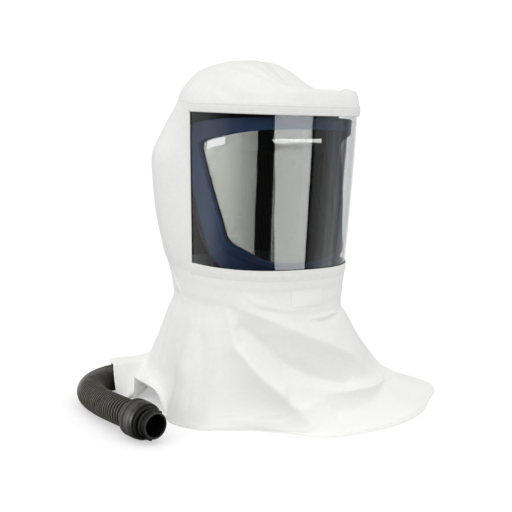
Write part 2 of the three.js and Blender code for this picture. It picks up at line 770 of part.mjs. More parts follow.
function hoseSpigot() {
  const tube = turnedTube(SPIGOT_PROFILE);
  const tubeRadius = SPIGOT_PROFILE[SPIGOT_PROFILE.length - 1][1];
  const lugs = [0, 180].map((opposite) => {
    const lug = new THREE.BoxGeometry(LUG.height, LUG.length, LUG.width);
    lug.translate(tubeRadius + LUG.height / 2 - LUG.root, LUG.fromEnd + LUG.length / 2 - SPIGOT_LENGTH, 0);
    return lug.rotateY(THREE.MathUtils.degToRad(LUG.turn + opposite));
  });
  return joined([tube, ...lugs]);
}

const hood = new THREE.Group();
const hoseEnd = new THREE.Group();
hoseEnd.position.copy(CUFF_AT);
hoseEnd.rotation.z = THREE.MathUtils.degToRad(CUFF_TURN);

function piece(name, geometry, look, parent = hood) {
  const mesh = new THREE.Mesh(geometry, new THREE.MeshStandardMaterial(look));
  mesh.name = name;
  parent.add(mesh);
  return mesh;
}

piece("crown_panel", crownPanel(), CLOTH_WHITE);
piece("back_panel", backPanel(), CLOTH_WHITE);
piece("front_bib", frontBib(), CLOTH_WHITE);
piece("back_cape", backCape(), CLOTH_WHITE);
piece("brow_band", band(RIM_Z, WINDOW_TOP_Z), CLOTH_WHITE);
piece("chin_band", band(WINDOW_FOOT_Z, SEAM_Z), CLOTH_WHITE);
piece("hood_visor", hoodVisor(), CLEAR_SHEET);
piece("bib_label", bibLabel(), CLOTH_WHITE);
piece("shield_frame", shieldFrame(), NAVY_PLASTIC);
piece("shield_visor", shieldVisor(), CLEAR_SHEET);
piece("visor_tab", visorTab(), CLOTH_WHITE);
piece("face_seal", faceSeal(), DARK_KNIT);
piece("air_carrier", airCarrier(), BLACK_PLASTIC);

// The hood's own box sets the origin: the middle of its foot on the table.
const restBox = new THREE.Box3().setFromObject(hood);
const restMiddle = restBox.getCenter(new THREE.Vector3());
hood.position.set(-restMiddle.x, -restMiddle.y, -restBox.min.z);

piece("breathing_hose", breathingHose(), BLACK_RUBBER);
piece("hose_cuff", turnedTube(CUFF_PROFILE), BLACK_RUBBER, hoseEnd).position.y = -GAP;
piece("hose_spigot", hoseSpigot(), BLACK_PLASTIC, hoseEnd).position.y = -GAP - CUFF_LENGTH - GAP;
hood.add(hoseEnd);

export default hood;
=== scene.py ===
"""Looks of a disposable respirator hood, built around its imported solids.

White cloth panels with their folds, a clear window sheet, a hard face shield with a dark face seal behind it,
and a corrugated breathing hose. Pieces are worked out in millimetres around the head's axis, with the face
looking along -Y, and are then placed in the frame of the solids in metres.
"""

import math

import bmesh
import bpy
import numpy as np
from mathutils import Matrix, Vector


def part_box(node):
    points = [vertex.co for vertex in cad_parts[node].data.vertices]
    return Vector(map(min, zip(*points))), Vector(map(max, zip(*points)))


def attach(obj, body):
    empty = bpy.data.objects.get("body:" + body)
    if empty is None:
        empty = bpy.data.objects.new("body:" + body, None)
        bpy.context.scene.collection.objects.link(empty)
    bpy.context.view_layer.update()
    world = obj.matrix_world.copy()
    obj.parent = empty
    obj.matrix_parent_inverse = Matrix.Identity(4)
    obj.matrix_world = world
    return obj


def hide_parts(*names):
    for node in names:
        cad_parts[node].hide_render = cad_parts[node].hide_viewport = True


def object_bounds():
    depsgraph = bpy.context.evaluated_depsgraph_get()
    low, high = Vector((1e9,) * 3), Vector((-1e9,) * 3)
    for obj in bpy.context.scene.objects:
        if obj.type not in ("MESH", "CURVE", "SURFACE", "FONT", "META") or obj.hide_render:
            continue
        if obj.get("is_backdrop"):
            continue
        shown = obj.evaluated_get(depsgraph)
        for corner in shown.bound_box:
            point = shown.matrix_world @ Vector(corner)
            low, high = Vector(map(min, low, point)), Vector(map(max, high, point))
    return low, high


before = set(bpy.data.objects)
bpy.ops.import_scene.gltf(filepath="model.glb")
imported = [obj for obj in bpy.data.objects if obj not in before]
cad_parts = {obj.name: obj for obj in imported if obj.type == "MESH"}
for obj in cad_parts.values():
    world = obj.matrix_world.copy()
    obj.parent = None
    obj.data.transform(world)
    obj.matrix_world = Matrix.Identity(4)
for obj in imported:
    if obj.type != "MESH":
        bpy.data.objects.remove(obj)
CAD_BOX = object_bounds()

bl_info = {
    "name": "Respirator hood looks",
    "version": (1, 0, 0),
    "blender": (4, 5, 0),
    "location": "View3D > Sidebar > Hood",
    "description": "Cloth, window, face shield, seal and breathing hose of a respirator hood",
    "category": "Object",
}

MM = 0.001

# Heights of the hood above the table, laps of the window and the clearance between pieces, in millimetres.
# Points nearer than the join distance, in metres, become one.
CROWN_Z = 456.5
RIM_Z = 402.5
WINDOW_TOP_Z = 389.5
WINDOW_FOOT_Z = 200.0
SEAM_Z = 186.0
WINDOW_LAP = 9.0
WINDOW_LAP_ANGLE = 4.0
WINDOW_SIDE_GAP = 0.15
GAP = 0.35
CLOTH_STAND_OFF = 1.55
SHARP_ANGLE = 50.0
JOIN_DISTANCE = 1e-6
SHORTEST_NORMAL = 1e-9

# Fineness of the meshes: points around or across, then points down.
CROWN_MESH = (320, 84)
BACK_MESH = (220, 100)
BIB_MESH = (296, 164)
CAPE_MESH = (290, 168)
BAND_MESH = (200, 27)
LABEL_MESH = (40, 24)
WINDOW_MESH = (160, 50)
VISOR_MESH = (140, 160)
FRAME_STEPS = 8
SEAL_STEPS = 30
HOSE_SIDES = 36
RIB_STEPS = 10
FITTING_SIDES = 96

# Thickness of the sheets that have no setting of their own.
BAND_THICKNESS = 0.8
LABEL_THICKNESS = 0.25
VISOR_THICKNESS = 1.6
SEAL_THICKNESS = 1.5

# Hidden laps at the seams: how far they go in behind the next piece, how deep, and the gap left at the rim.
TUCK_IN = 1.05
TUCK_DEPTH = 3.0
SEAM_GAP = 0.06

# Bands: name, node, upper and lower edge, how far the roll stands proud, two powers that shape it, tucked.
BANDS = (
    ("brow_band_cloth", "brow_band", RIM_Z, WINDOW_TOP_Z, 1.4, 6, 0.5, False),
    ("chin_band_cloth", "chin_band", WINDOW_FOOT_Z, SEAM_Z, 0.5, 2, 1, True),
)
BAND_OVERLAP = 1.2
BAND_END_WIDTH = 5.0
BAND_END_LIFT = 1.2
BAND_END_DIP = 0.1
BAND_LOOSE_ANGLES = (45.0, 78.0)
BAND_LOOSE_LIFT = 3.5
# Angles over which the brow band's loose end is painted greyer, as painted shade.
GREY_END_ANGLES = (28.0, 70.0)

# Stitches along the bands: shares of the band's height, width, and depth as a share of the roll.
STITCH_LINES = (0.28, 0.74)
STITCH_WIDTH = 0.05
STITCH_DEPTH = 0.25

# Fine relief of the cloth: distance between its hills, their height, seed of the pattern.
CROWN_GATHERS = (9, 1.3, 11)
CROWN_CRUMPLE = (46, 0.5, 21)
BACK_HILLS = (42, 1.6, 31)
BACK_CRUMPLE = (60, 0.4, 41)
CAPE_CRUMPLE = (52, 0.6, 51)
CRUMPLE_WARP = 0.35
CRUMPLE_FINENESS = 2.3
CRUMPLE_FINE_SHARE = 0.4

# Angle of the window's side edge at each height, in degrees from the middle of the face.
WINDOW_EDGE = ((186, 76), (240, 76.3), (326, 78), (406, 79.5))

# Plan of the hood: height, half width, reach to the front, reach to the back, side bulge behind the window.
SECTIONS = (
    (120, 101, 114, 117, 0),
    (148, 101, 115, 116, 0),
    (160, 103, 117, 118, 0),
    (186, 106.5, 120.5, 126, 3),
    (200, 107.5, 122, 131, 6),
    (240, 109, 125.5, 143, 13),
    (280, 110, 128.5, 151, 18),
    (326, 110.8, 132, 156, 21),
    (360, 111.3, 134, 140, 10),
    (391, 111.5, 135.5, 111, -2.5),
    (406, 111.5, 136.5, 98, -7.5),
)
BULGE_ANGLE = 108.0
FRONT_SQUARENESS = 2.5
BACK_SQUARENESS = 2.15

# Rise of the crown from its rim: share of the way out, rise of the dome, rise of the shelf over the brow.
CROWN_RISE = (
    (0, 1, 1),
    (0.12, 0.998, 0.96),
    (0.25, 0.985, 0.81),
    (0.38, 0.96, 0.6),
    (0.5, 0.905, 0.43),
    (0.6, 0.83, 0.33),
    (0.7, 0.72, 0.285),
    (0.78, 0.61, 0.28),
    (0.85, 0.49, 0.31),
    (0.91, 0.355, 0.345),
    (0.96, 0.21, 0.31),
    (1, 0, 0),
)
CROWN_MIDDLE_Y = 8.0
BROW_START_ANGLES = (-34.0, 6.0)
BROW_END_ANGLES = (76.0, 116.0)
CROWN_SMOOTH = (0.05, 0.3)
CROWN_HELD = (0.965, 1.0)

# Gathers above the crown's rim: millimetres for a degree around and for the whole way out, reach from the rim.
GATHER_SCALE = (1.9, 25.0)
GATHER_REACH = 0.16

# Hills of the back panel: millimetres for a degree around, squash of the heights, edges that are held smooth.
BACK_SCALE = (2.3, 0.35)
BACK_HELD = 14.0
BACK_HELD_SHARE = 0.05

# Wrinkles of the crown, each a line of places in plan: x, y, width and height of the ridge.
CROWN_FOLDS = (
    ((-91, -19, 6, 0.4), (-88, -60, 5.5, 2), (-79, -101, 5, 2), (-60, -124, 4.5, 0.6)),
    ((-72, -42, 6, 0.4), (-70, -70, 5.5, 2.2), (-58, -100, 5, 2.2), (-42, -131, 4.5, 0.8)),
    ((-52, -40, 6, 0.4), (-50, -75, 5.5, 2.2), (-42, -105, 5, 2.2), (-24, -135, 4.5, 0.8)),
    ((-8, -30, 6, 0.4), (-4, -70, 5.5, 2), (-2, -105, 5, 2), (6, -136, 4.5, 1)),
    ((-30, -50, 5.5, 0.3), (-28, -85, 5, 2), (-20, -115, 4.5, 1.8), (-8, -136, 4, 0.5)),
    ((-101, -63, 3, -0.3), (-97, -72, 3.5, -2.2), (-93, -88, 3.5, -1.6), (-88, -99, 3, -0.3)),
    ((-103, -66, 3, 0.3), (-100, -76, 3, 1.8), (-99, -84, 3, 0.3)),
    ((54, -75, 6, 0.3), (66, -100, 7, 2.4), (62, -121, 5, 1)),
    ((40, -128, 5, -0.3), (52, -118, 5, -2), (66, -108, 5, -0.4)),
    ((-40, 60, 14, 1), (-70, 40, 14, 2)),
    ((40, 62, 14, 1), (74, 36, 14, 2)),
)

# Fall of the cape: share of the drop, height, share of the way out from the neck to the hem, and the same
# share at the right of the front, where the cape swells out sooner.
CAPE_FALL = (
    (0, 185.94, 0, 0),
    (0.13, 158, 0, 0.005),
    (0.2, 143, 0, 0.03),
    (0.3, 122, 0.09, 0.13),
    (0.42, 94, 0.19, 0.27),
    (0.54, 65, 0.3, 0.43),
    (0.66, 36, 0.44, 0.62),
    (0.77, 17, 0.61, 0.79),
    (0.87, 6, 0.79, 0.91),
    (0.95, 1.2, 0.93, 0.985),
    (1, 1.2, 1, 1),
)
FRONT_START_ANGLES = (-92.0, -74.0)
FRONT_END_ANGLES = (-22.0, 8.0)
NECK_DROP = 0.2

# The hem around the head: angle, reach from the head's axis, lift off the table, swing around the head.
HEM = (
    (-180, 205, 0, 0),
    (-160, 212, 0, 0),
    (-142, 212, 0, 0),
    (-132, 203, 0, 0),
    (-127, 199, 0, 0),
    (-123.5, 192, 0, 0),
    (-121, 183, 0, 10),
    (-119, 178, 0, 8.5),
    (-117, 171, 0, 4),
    (-115, 160, 0, 1),
    (-114, 159, 4, 0),
    (-113, 159, 30, -1),
    (-109, 155, 30, 0),
    (-104, 145, 27, 0),
    (-97, 137, 23, 0),
    (-91, 136, 15, 0),
    (-84, 137, 5, 0),
    (-76, 147, 0, 0),
    (-68, 154, 0, 0),
    (-55, 153, 0, 0),
    (-40, 140, 0, 0),
    (-29, 136, 0, 0),
    (-12, 150, 0, 0),
    (2, 180, 0, 0),
    (22, 199, 0, 0),
    (45, 227, 0, 0),
    (63, 248, 0, 0),
    (80, 280, 0, 0),
    (93, 268, 0, 0),
    (112, 236, 0, 0),
    (140, 214, 0, 0),
    (165, 206, 0, 0),
    (180, 205, 0, 0),
)
BIB_ANGLES = (-93.0, 96.0)
LABEL_ANGLES = (-7.5, 13.5)
LABEL_DROPS = (0.05, 0.145)
LABEL_STAND_OFF = 0.45
SEAM_LEAN = 16.0

# Folds of the cape, each a line of places: angle, drop, height of the cloth there above the plain fall.
# The first lines hold it level under the chin seam and above the hem, in front and behind.
LEVEL_ANGLES = ((-93, -45, 0, 50, 96), (96, 140, 180, -140, -93))
LEVEL_DROPS = (0.06, 0.97)
CAPE_FOLDS = (
    *(tuple((angle, drop, 0) for angle in line) for drop in LEVEL_DROPS for line in LEVEL_ANGLES),
    ((-43, 0.14, 2), (-25, 0.2, 7), (-7.5, 0.29, 11), (15, 0.39, 13), (29.5, 0.47, 12), (36, 0.53, 10)),
    ((-37, 0.28, -3), (-23, 0.37, -7), (-11, 0.465, -8), (6, 0.54, -8), (24, 0.6, -3)),
    (
        (-46, 0.17, 2), (-42, 0.295, 5), (-39, 0.38, 8), (-27, 0.5, 15), (-14.5, 0.605, 17), (-5, 0.715, 14),
        (-1, 0.845, 7),
    ),
    ((13, 0.625, 3), (26, 0.64, 10), (38, 0.665, 13), (51, 0.68, 12), (62.5, 0.64, 8)),
    ((11.5, 0.695, -2), (15, 0.745, -7), (26, 0.765, -8), (38, 0.74, -7), (51, 0.72, -1)),
    ((-5.5, 0.225, 6), (9, 0.225, 5)),
    ((52, 0.28, 2), (64, 0.42, 5), (76, 0.6, 9), (84, 0.75, 9)),
    ((-82, 0.535, 3), (-70.5, 0.56, 4)),
    ((-76, 0.25, 1), (-60, 0.4, 0), (-54, 0.85, 0)),
    ((112, 0.28, 2), (118, 0.6, 8), (121, 0.88, 5)),
    ((134, 0.28, -1), (139, 0.6, -6), (141, 0.88, -2)),
    ((156, 0.28, 3), (160, 0.6, 8), (162, 0.88, 5)),
    ((176, 0.28, -1), (179, 0.6, -5), (-179, 0.88, -2)),
    ((-160, 0.28, 3), (-156, 0.6, 8), (-155, 0.88, 4)),
    ((-130, 0.28, 0), (-126, 0.9, 0)),
)

# Millimetres for a degree around the cape and for its whole drop.
FOLD_SCALE = (2.6, 230.0)

# Small sharp creases of the cape: angle, drop, width and height. The first is the welt of a side seam.
CAPE_CREASES = (
    (
        (-109, 0, 2.6, 0), (-107.5, 0.035, 2.6, 1.3), (-101, 0.1, 2.6, 1.6), (-95.5, 0.15, 2.6, 1.6),
        (-93, 0.2, 2.6, 0.4),
    ),
    ((6, 0.262, 3, -0.5), (14, 0.262, 3, -3.5), (24, 0.25, 3, -3), (31, 0.245, 3, -0.5)),
    ((4, 0.235, 4, 0.5), (16, 0.24, 4, 2.5), (28, 0.228, 4, 1)),
    ((-63.5, 0.56, 3, -0.2), (-63.5, 0.66, 3, -1.1), (-63, 0.74, 3, -0.6)),
    ((-34, 0.09, 4, 0.5), (-26, 0.13, 4, 1.5), (-12, 0.16, 5, 1.5), (4, 0.17, 5, 0.3)),
    ((36, 0.3, 4, 0.4), (44, 0.42, 4, 2), (50, 0.55, 4, 0.6)),
    ((58, 0.72, 6, 1), (70, 0.78, 6, 2.5), (82, 0.78, 6, 1)),
)

# How lines shape the cloth: blending of a line's values at its bends, and the reach and lift of the folds.
BEND_SOFTNESS = 0.1
BEND_POWER = 4
FOLD_SOFTNESS = 2.5
FOLD_FALL_OFF = 1.5
FOLD_LIFT = 1.28

# Drops at which the chin seam and the hem hold the cape, and between which its crumple grows.
CAPE_HELD_TOP = (0.0, 0.08)
CAPE_HELD_FOOT = (0.9, 0.97)
CAPE_SMOOTH = (0.02, 0.2)

# The hem on the table: height of its outer face, softness of its bend, and the lip that rolls under.
HEM_CLOTH = 0.3
TABLE_SOFTNESS = 1.6
HEM_LIP = 0.6
HEM_LYING_Z = 2.5
HEM_FOOT_Z = 0.02

# Painted light on cloth near the white table, paler where the table would shine through and light it: its
# heights, its slopes and how much of it shows.
PAINTED_LIGHT_HEIGHTS = (20.0, 90.0)
PAINTED_LIGHT_SLOPES = (0.25, 0.7)
LYING_PAINTED_LIGHT = 0.55
HEM_HEIGHTS = (4.0, 55.0)
HEM_PAINTED_LIGHT = 0.85

# Face shield from brow to chin: row, edge of its opening (angle, height), outer rim (angle, height), bead.
FRAME_ROWS = (
    (0, 0, 373, 0, 387, 0),
    (1, 20, 372, 20, 386.5, 0),
    (2, 38, 367.5, 41, 385, 0),
    (3, 54, 361, 62, 381, 0),
    (4, 66, 355, 81, 372, 0),
    (5, 70, 348, 89, 352, 0),
    (6, 66, 324, 85, 316, 0),
    (7, 59, 290, 76, 286, 0),
    (8, 53, 260, 70, 254, 0.2),
    (9, 48, 235, 60, 212, 1),
    (10, 39, 225, 47, 193, 1.8),
    (11, 29, 216, 32, 186, 1.8),
    (12, 19, 208.5, 19, 182, 1.2),
    (13, 0, 205, 0, 180, 1),
)

# Section of the frame, from its opening to its rim: places across, then the bead's height and the rounding of
# the two edges, each as places across and values there. Its back has every third place.
FRAME_ACROSS = (0, 0.03, 0.06, 0.1, 0.16, 0.2, 0.23, 0.26, 0.3, 0.34, 0.4, 0.55, 0.7, 0.9, 0.96, 1.0)
FRAME_BEAD = ((0, 0.16, 0.21, 0.26, 0.34, 1), (0, 0, 1.5, 1.5, 0, 0))
FRAME_ROUNDING = ((0, 0.03, 0.06, 0.96, 1), (2.6, 1.4, 0, 0, 1.2))
FRAME_BACK_STEP = 3

# Painted light and shade on the frame, paler where light falls and darker at the chin: row and share. Near the
# brow the outer rim gets painted shade.
FRAME_PALE = ((0, 1), (2, 0.8), (3, 0.35), (5, 0.65), (8, 0.75), (9, 0.45), (10, 0.12), (11, 0), (13, 0.1))
FRAME_BROW_ROWS = (3.0, 6.0)
FRAME_BROW_SHADE = 0.8

# Place of the frame and its visor behind the window.
FRAME_SETBACK = 7.0
TEMPLE_SETBACK = 1.35
TEMPLE_ANGLES = (48.0, 80.0)
FRAME_DEPTH = 4.0
VISOR_SEAT = 0.8
VISOR_LAP = 6.0
VISOR_LAP_ANGLE = 2.5
VISOR_CORNER_ROW = 5

# A moulded lip along the visor's top: its drop below the opening's edge, its section and its two ends.
LIP_DROP = 17.5
LIP_WIDTH = 4.8
LIP_HEIGHT = 1.3
LIP_START_ANGLES = (-30.0, -16.0)
LIP_END_ANGLES = (12.0, 50.0)

# Face seal: from the frame's rim back and in to an oval around the face. Its way: step, share back, share in.
SEAL_RIM = 0.93
FACE_Z = 295.0
FACE_HALF_WIDTH = 76.0
FACE_HALF_HEIGHT = 84.0
FACE_BROW_Y = -70.0
FACE_TEMPLE_Y = 10.0
FACE_CHIN_Y = -45.0
SEAL_WAY = ((0, 0, 0), (1, 0.45, 0.06), (2, 0.85, 0.28), (3, 1, 0.65), (4, 1, 1))

# The breathing hose: its route from the socket at the nape to the cuff, in metres around the head's axis.
HOSE_ROUTE = (
    (0, 0.084, 0.22165),
    (0, 0.084, 0.19),
    (0, 0.084, 0.165),
    (-0.001, 0.0845, 0.138),
    (-0.008, 0.0865, 0.104),
    (-0.029, 0.0915, 0.066),
    (-0.061, 0.0995, 0.0365),
    (-0.091, 0.1075, 0.0225),
    (-0.116, 0.1135, 0.0182),
    (-0.1395, 0.1156, 0.0182),
    (-0.16, 0.1113, 0.0182),
    (-0.1785, 0.102, 0.0182),
    (-0.194, 0.088, 0.0182),
    (-0.2055, 0.0707, 0.0182),
    (-0.212, 0.051, 0.0182),
    (-0.2136, 0.03, 0.0182),
    (-0.213, 0.001, 0.0196),
    (-0.2114, -0.027, 0.0219),
    (-0.2094, -0.0475, 0.0233),
    (-0.2072, -0.0595, 0.0237),
    (-0.2047, -0.0713, 0.0237),
)
HOSE_LENGTH = 0.517
HOSE_RADIUS = 18.0
RIB_SWELL = (-0.4, 0.7)
ROUTE_FINENESS = 4000

# Fittings on the hose's end, turned about its axis: way along, radius, paleness, lug. Paleness is rubbed wear
# where high and painted shade where low, in grooves and bores.
CUFF_TURN = 12.0
CUFF_LENGTH = 27.0
CUFF_ROWS = (
    (0, 19, 0.2, 0),
    (0.7, 19.6, 0.5, 0),
    (2.2, 22.4, 0.8, 0),
    (3.2, 23.2, 1, 0),
    (5, 23.5, 1, 0),
    (9.4, 23.5, 1, 0),
    (9.9, 22.9, 0.1, 0),
    (10.9, 22.9, 0.1, 0),
    (11.4, 23.5, 1, 0),
    (18.4, 23.5, 1, 0),
    (19.6, 23.2, 1, 0),
    (22, 22.6, 0.8, 0),
    (26.2, 22.6, 0.8, 0),
    (27, 22, 0.7, 0),
    (27, 13.6, 0, 0),
    (0, 13.6, 0, 0),
)
SPIGOT_ROWS = (
    (0, 18.9, 0.3, 0),
    (0.6, 19.5, 0.8, 0),
    (2.4, 19.5, 0.9, 0),
    (3, 18.9, 0.5, 0),
    (3.1, 15.6, 0, 0),
    (6.9, 15.6, 0, 0),
    (7, 16.9, 0.3, 0),
    (7.5, 17.4, 0.9, 0),
    (9.5, 17.4, 0.9, 0),
    (10, 16.9, 0.5, 0),
    (10.1, 16.4, 0.2, 0),
    (11.8, 16.4, 0.4, 0),
    (12, 16.4, 0.6, 1),
    (17, 16.4, 0.9, 1),
    (17.2, 16.4, 0.5, 0),
    (18.3, 16.4, 0.8, 0),
    (19, 15.7, 1, 0),
    (19, 14.1, 0.8, 0),
    (18.5, 13.5, 0.3, 0),
    (0, 13.5, 0, 0),
)
LUG_TURN = 66.0
LUG_HALF_TURN = 10.0
LUG_HEIGHT = 2.2

# The cape's cloth over the lying hose: clearance, how steeply it falls away, how softly it bends.
TENT_POINTS = 120
TENT_CLEAR = 3.5
TENT_SLOPE = 2.0
TENT_SOFTNESS = 8.0
TENT_TOP_Z = 78.0

# Camera: where it stands around the head's axis, and how it is turned. Focal length in picture widths.
CAMERA_TURN = -30.0
CAMERA_DISTANCE = 1310.0
CAMERA_Z = 406.0
CAMERA_YAW = -0.055
CAMERA_PITCH = 9.0
CAMERA_ROLL = 1.8
CAMERA_FOCAL = 984.0 / 512.0
SENSOR = 36.0
CLIP_START = 0.01

# Light: radiance of the surroundings and what the eye sees of them, extra glow of the table to the eye, the
# table's half width and height in metres, soft sky light from above.
WORLD_LIGHT = 0.82
BACKDROP_LIGHT = 1.1
FLOOR_GLOW = 0.44
FLOOR_REACH = 9.0
FLOOR_Z = -0.0001
SKY_STRENGTH = 0.61
SKY_WIDTH = 85.0
SKY_FROM = (-0.3, -0.45, 1.0)

# Lamps: name, place in millimetres around the head's axis, width and height in metres, power in watts, and
# the set of pieces that takes its light. The set clear_pieces leaves its pieces out, so all others take it.
LAMP_TARGET = (0, 0, 280)
LAMPS = (
    ("left_lamp", (-1700, -80, 420), 1.2, 1.6, 5.6, "clear_pieces"),
    ("right_lamp", (700, -1550, 250), 1.2, 1.2, 4.0, "clear_pieces"),
    ("hose_lamp", (-1650, -350, 420), 0.6, 0.6, 21.0, "hose_pieces"),
    ("shield_lamp", (-1642, 440, 420), 0.7, 1.4, 12.0, "shield_pieces"),
    ("hem_lamp", (-1500, -250, 160), 0.8, 0.6, 1.2, "cape_pieces"),
)

# Bright cards mirrored by the clear sheets: name, set of mirrors, tint, elevation of the upper and lower edge,
# then columns: angle around the head at the upper and the lower edge, radiance at the upper and the lower edge.
CARD_DISTANCE = 3000.0
CARD_MIDDLE_Z = 300.0
CARDS = (
    ("front_card", "window_mirrors", "ffffff", 0, -24, ((-19, 5, 2.8, 3.8), (30.3, 34, 3, 3.9))),
    ("left_card", "window_mirrors", "ffffff", 10, -30, (
        (-160, -160, 0.3, 0.5), (-130, -130, 0.3, 0.5), (-115, -110, 0.15, 0.45), (-95, -90, 0.03, 0.2),
        (-75, -70, 0.02, 0.03), (-57, -22, 0.03, 0.04), (-19, 5, 0.04, 0.04),
    )),
    ("right_card", "window_mirrors", "ffffff", 5, -24, (
        (31, 34.5, 0.35, 0.15), (40, 40, 0.45, 0.4), (42, 42, 0.6, 0.6), (45, 45, 0.5, 0.65),
        (50, 50, 0.5, 0.9), (53, 53, 0.5, 1.3), (57, 57, 0.4, 1.25), (63, 63, 0.35, 1.2),
        (66, 66, 0.4, 1.6), (70, 70, 0.3, 1.1), (80, 80, 0.2, 0.7), (84, 84, 0.3, 0.95),
        (88, 88, 0.5, 0.7), (130, 130, 1, 0.8), (175, 175, 1, 0.8),
    )),
    ("brow_card", "window_mirrors", "dceaff", 5, -6, ((-17, -16, 3, 0), (28, 29, 3, 0))),
    ("front_card_inside", "shield_mirrors", "fffff5", 5, -30, ((-19, 5, 3.6, 0.8), (30.8, 38, 3.8, 0.9))),
    ("lip_card", "shield_mirrors", "fffff8", 50, 6, ((-15, -18, 8, 9), (44, 44, 8, 9))),
    ("left_card_inside", "shield_mirrors", "fffff5", 5, -30, (
        (-160, -160, 7.5, 7.5), (-120, -118, 7.5, 7.5), (-103, -100, 7.2, 7.2), (-92, -88, 6.3, 6.3),
        (-75, -68, 5.1, 5.1), (-56, -45, 3.7, 3.7), (-48, -28, 2.9, 2.9),
    )),
)


# Reading of tables

def between(rows, column, place):
    """Reads a column between rows, on a smooth curve that never passes beyond its rows."""
    rows = np.asarray(rows, float)
    keys, values = rows[:, 0], rows[:, column]
    place = np.clip(place, keys[0], keys[-1])
    i = np.clip(np.searchsorted(keys, place), 1, len(keys) - 1) - 1
    slopes = np.diff(values) / np.diff(keys)
    product = slopes[:-1] * slopes[1:]
    total = np.where(product > 0, slopes[:-1] + slopes[1:], 1)
    inner = np.where(product > 0, 2 * product / total, 0)
    tangents = np.concatenate([slopes[:1], inner, slopes[-1:]])
    width = keys[i + 1] - keys[i]
    t = (place - keys[i]) / width
    to_next = t * t * (3 - 2 * t)
    bend = tangents[i] * t * (1 - t) ** 2 - tangents[i + 1] * t**2 * (1 - t)
    return values[i] + (values[i + 1] - values[i]) * to_next + bend * width


def smoothstep(value, low, high):
    """Rises from 0 to 1 between two values, level at both ends."""
    t = np.clip((value - low) / (high - low), 0, 1)
    return t * t * (3 - 2 * t)


def lerp(a, b, share):
    """A value between a and b."""
    return a + (b - a) * share


def pairs(across, down):
    """Every place across with every place down, as two grids with a column for each place across."""
    return np.meshgrid(across, down, indexing="ij")


def around(angle, reach, z):
    """Places at an angle around the head's axis, at a reach from it and at a height."""
    turn = np.radians(angle)
    return np.stack(np.broadcast_arrays(reach * np.sin(turn), -reach * np.cos(turn), z), -1)


def plan_reach(angle, z, bulge=0.0):
    """Reach of the hood's plan outline from the head's axis."""
    turn = np.radians(angle)
    front = np.cos(turn) > 0
    half_width = between(SECTIONS, 1, z) + bulge
    depth = np.where(front, between(SECTIONS, 2, z), between(SECTIONS, 3, z))
    power = np.where(front, FRONT_SQUARENESS, BACK_SQUARENESS)
    sideways = (np.abs(np.sin(turn)) / half_width) ** power
    lengthways = (np.abs(np.cos(turn)) / depth) ** power
    return (sideways + lengthways) ** (-1 / power)


def window_edge(z):
    """Angle of the window's side edge at a height."""
    return between(WINDOW_EDGE, 1, z)


def cloth_reach(angle, z):
    """Reach of the cloth's outer face, which bulges behind the window."""
    share = smoothstep(np.abs(angle), window_edge(z) + WINDOW_LAP_ANGLE, BULGE_ANGLE)
    return plan_reach(angle, z, between(SECTIONS, 4, z) * share) + CLOTH_STAND_OFF


VISOR_LOW, VISOR_HIGH = (np.array(corner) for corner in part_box("hood_visor"))
HEAD_AXIS = np.array([
    (VISOR_LOW[0] + VISOR_HIGH[0]) / 2,
    VISOR_LOW[1] + MM * float(plan_reach(0.0, WINDOW_TOP_Z + WINDOW_LAP)),
    0.0,
])


def placed(points):
    """Points around the head's axis in millimetres, as places in the frame of the solids in metres."""
    return np.asarray(points, float) * MM + HEAD_AXIS


# Relief of cloth

def soft_noise(u, v, cell, seed):
    """Smooth hills and hollows from -1 to 1, with the given distance between them."""
    size = 64
    lattice = np.random.default_rng(seed).uniform(-1, 1, (size, size))
    u, v = u / cell, v / cell
    iu, iv = np.floor(u).astype(int), np.floor(v).astype(int)
    fu, fv = smoothstep(u - iu, 0, 1), smoothstep(v - iv, 0, 1)
    corner = lambda du, dv: lattice[(iu + du) % size, (iv + dv) % size]
    low = lerp(corner(0, 0), corner(1, 0), fu)
    high = lerp(corner(0, 1), corner(1, 1), fu)
    return lerp(low, high, fv)


def crumple(u, v, cell, seed):
    """Creased relief of stiff nonwoven cloth: sharp lines between soft facets, from about -1 to 1."""
    warp = CRUMPLE_WARP * cell
    u = u + warp * soft_noise(u, v, cell, seed + 1)
    v = v + warp * soft_noise(u, v, cell, seed + 2)
    large = np.abs(soft_noise(u, v, cell, seed + 3))
    small = np.abs(soft_noise(u, v, cell / CRUMPLE_FINENESS, seed + 4))
    return 1 - 2 * large + CRUMPLE_FINE_SHARE * (1 - 2 * small)


def relief(pattern, row, u, v):
    """Height of soft noise or crumple, from its row of distance, height and seed."""
    cell, height, seed = row
    return pattern(u, v, cell, seed) * height


def to_line(line, scale, u, v):
    """Distance of places from a line, with the line's own values nearby, blended where it bends."""
    best, total, weights = np.inf, 0, 0
    turn = lambda a: (a + 180) % 360 - 180
    for start, end in zip(np.array(line, float), np.array(line[1:], float)):
        along = np.array([turn(end[0] - start[0]) * scale[0], (end[1] - start[1]) * scale[1]])
        du, dv = turn(u - start[0]) * scale[0], (v - start[1]) * scale[1]
        share = np.clip((du * along[0] + dv * along[1]) / (along @ along), 0, 1)
        away = np.hypot(du - along[0] * share, dv - along[1] * share)
        weight = (away**2 + BEND_SOFTNESS)[..., None] ** -BEND_POWER
        total = total + weight * lerp(start[2:], end[2:], share[..., None])
        weights, best = weights + weight, np.minimum(best, away)
    return best, total / weights


def ridges(lines, scale, u, v):
    """Height of rounded ridges along lines. Each ridge counts at the nearest place on its line."""
    total = 0
    for line in lines:
        away, values = to_line(line, scale, u, v)
        total = total + values[..., 1] * np.exp(-((away / values[..., 0]) ** 2))
    return total


def folded(lines, scale, u, v):
    """Height of cloth that is pulled into flat planes between the lines of its folds."""
    total, weights = 0, 0
    for line in lines:
        away, values = to_line(line, scale, u, v)
        weight = (away**2 + FOLD_SOFTNESS**2) ** (-FOLD_FALL_OFF / 2)
        total = total + weight * values[..., 0]
        weights = weights + weight
    return total / weights


# Meshes

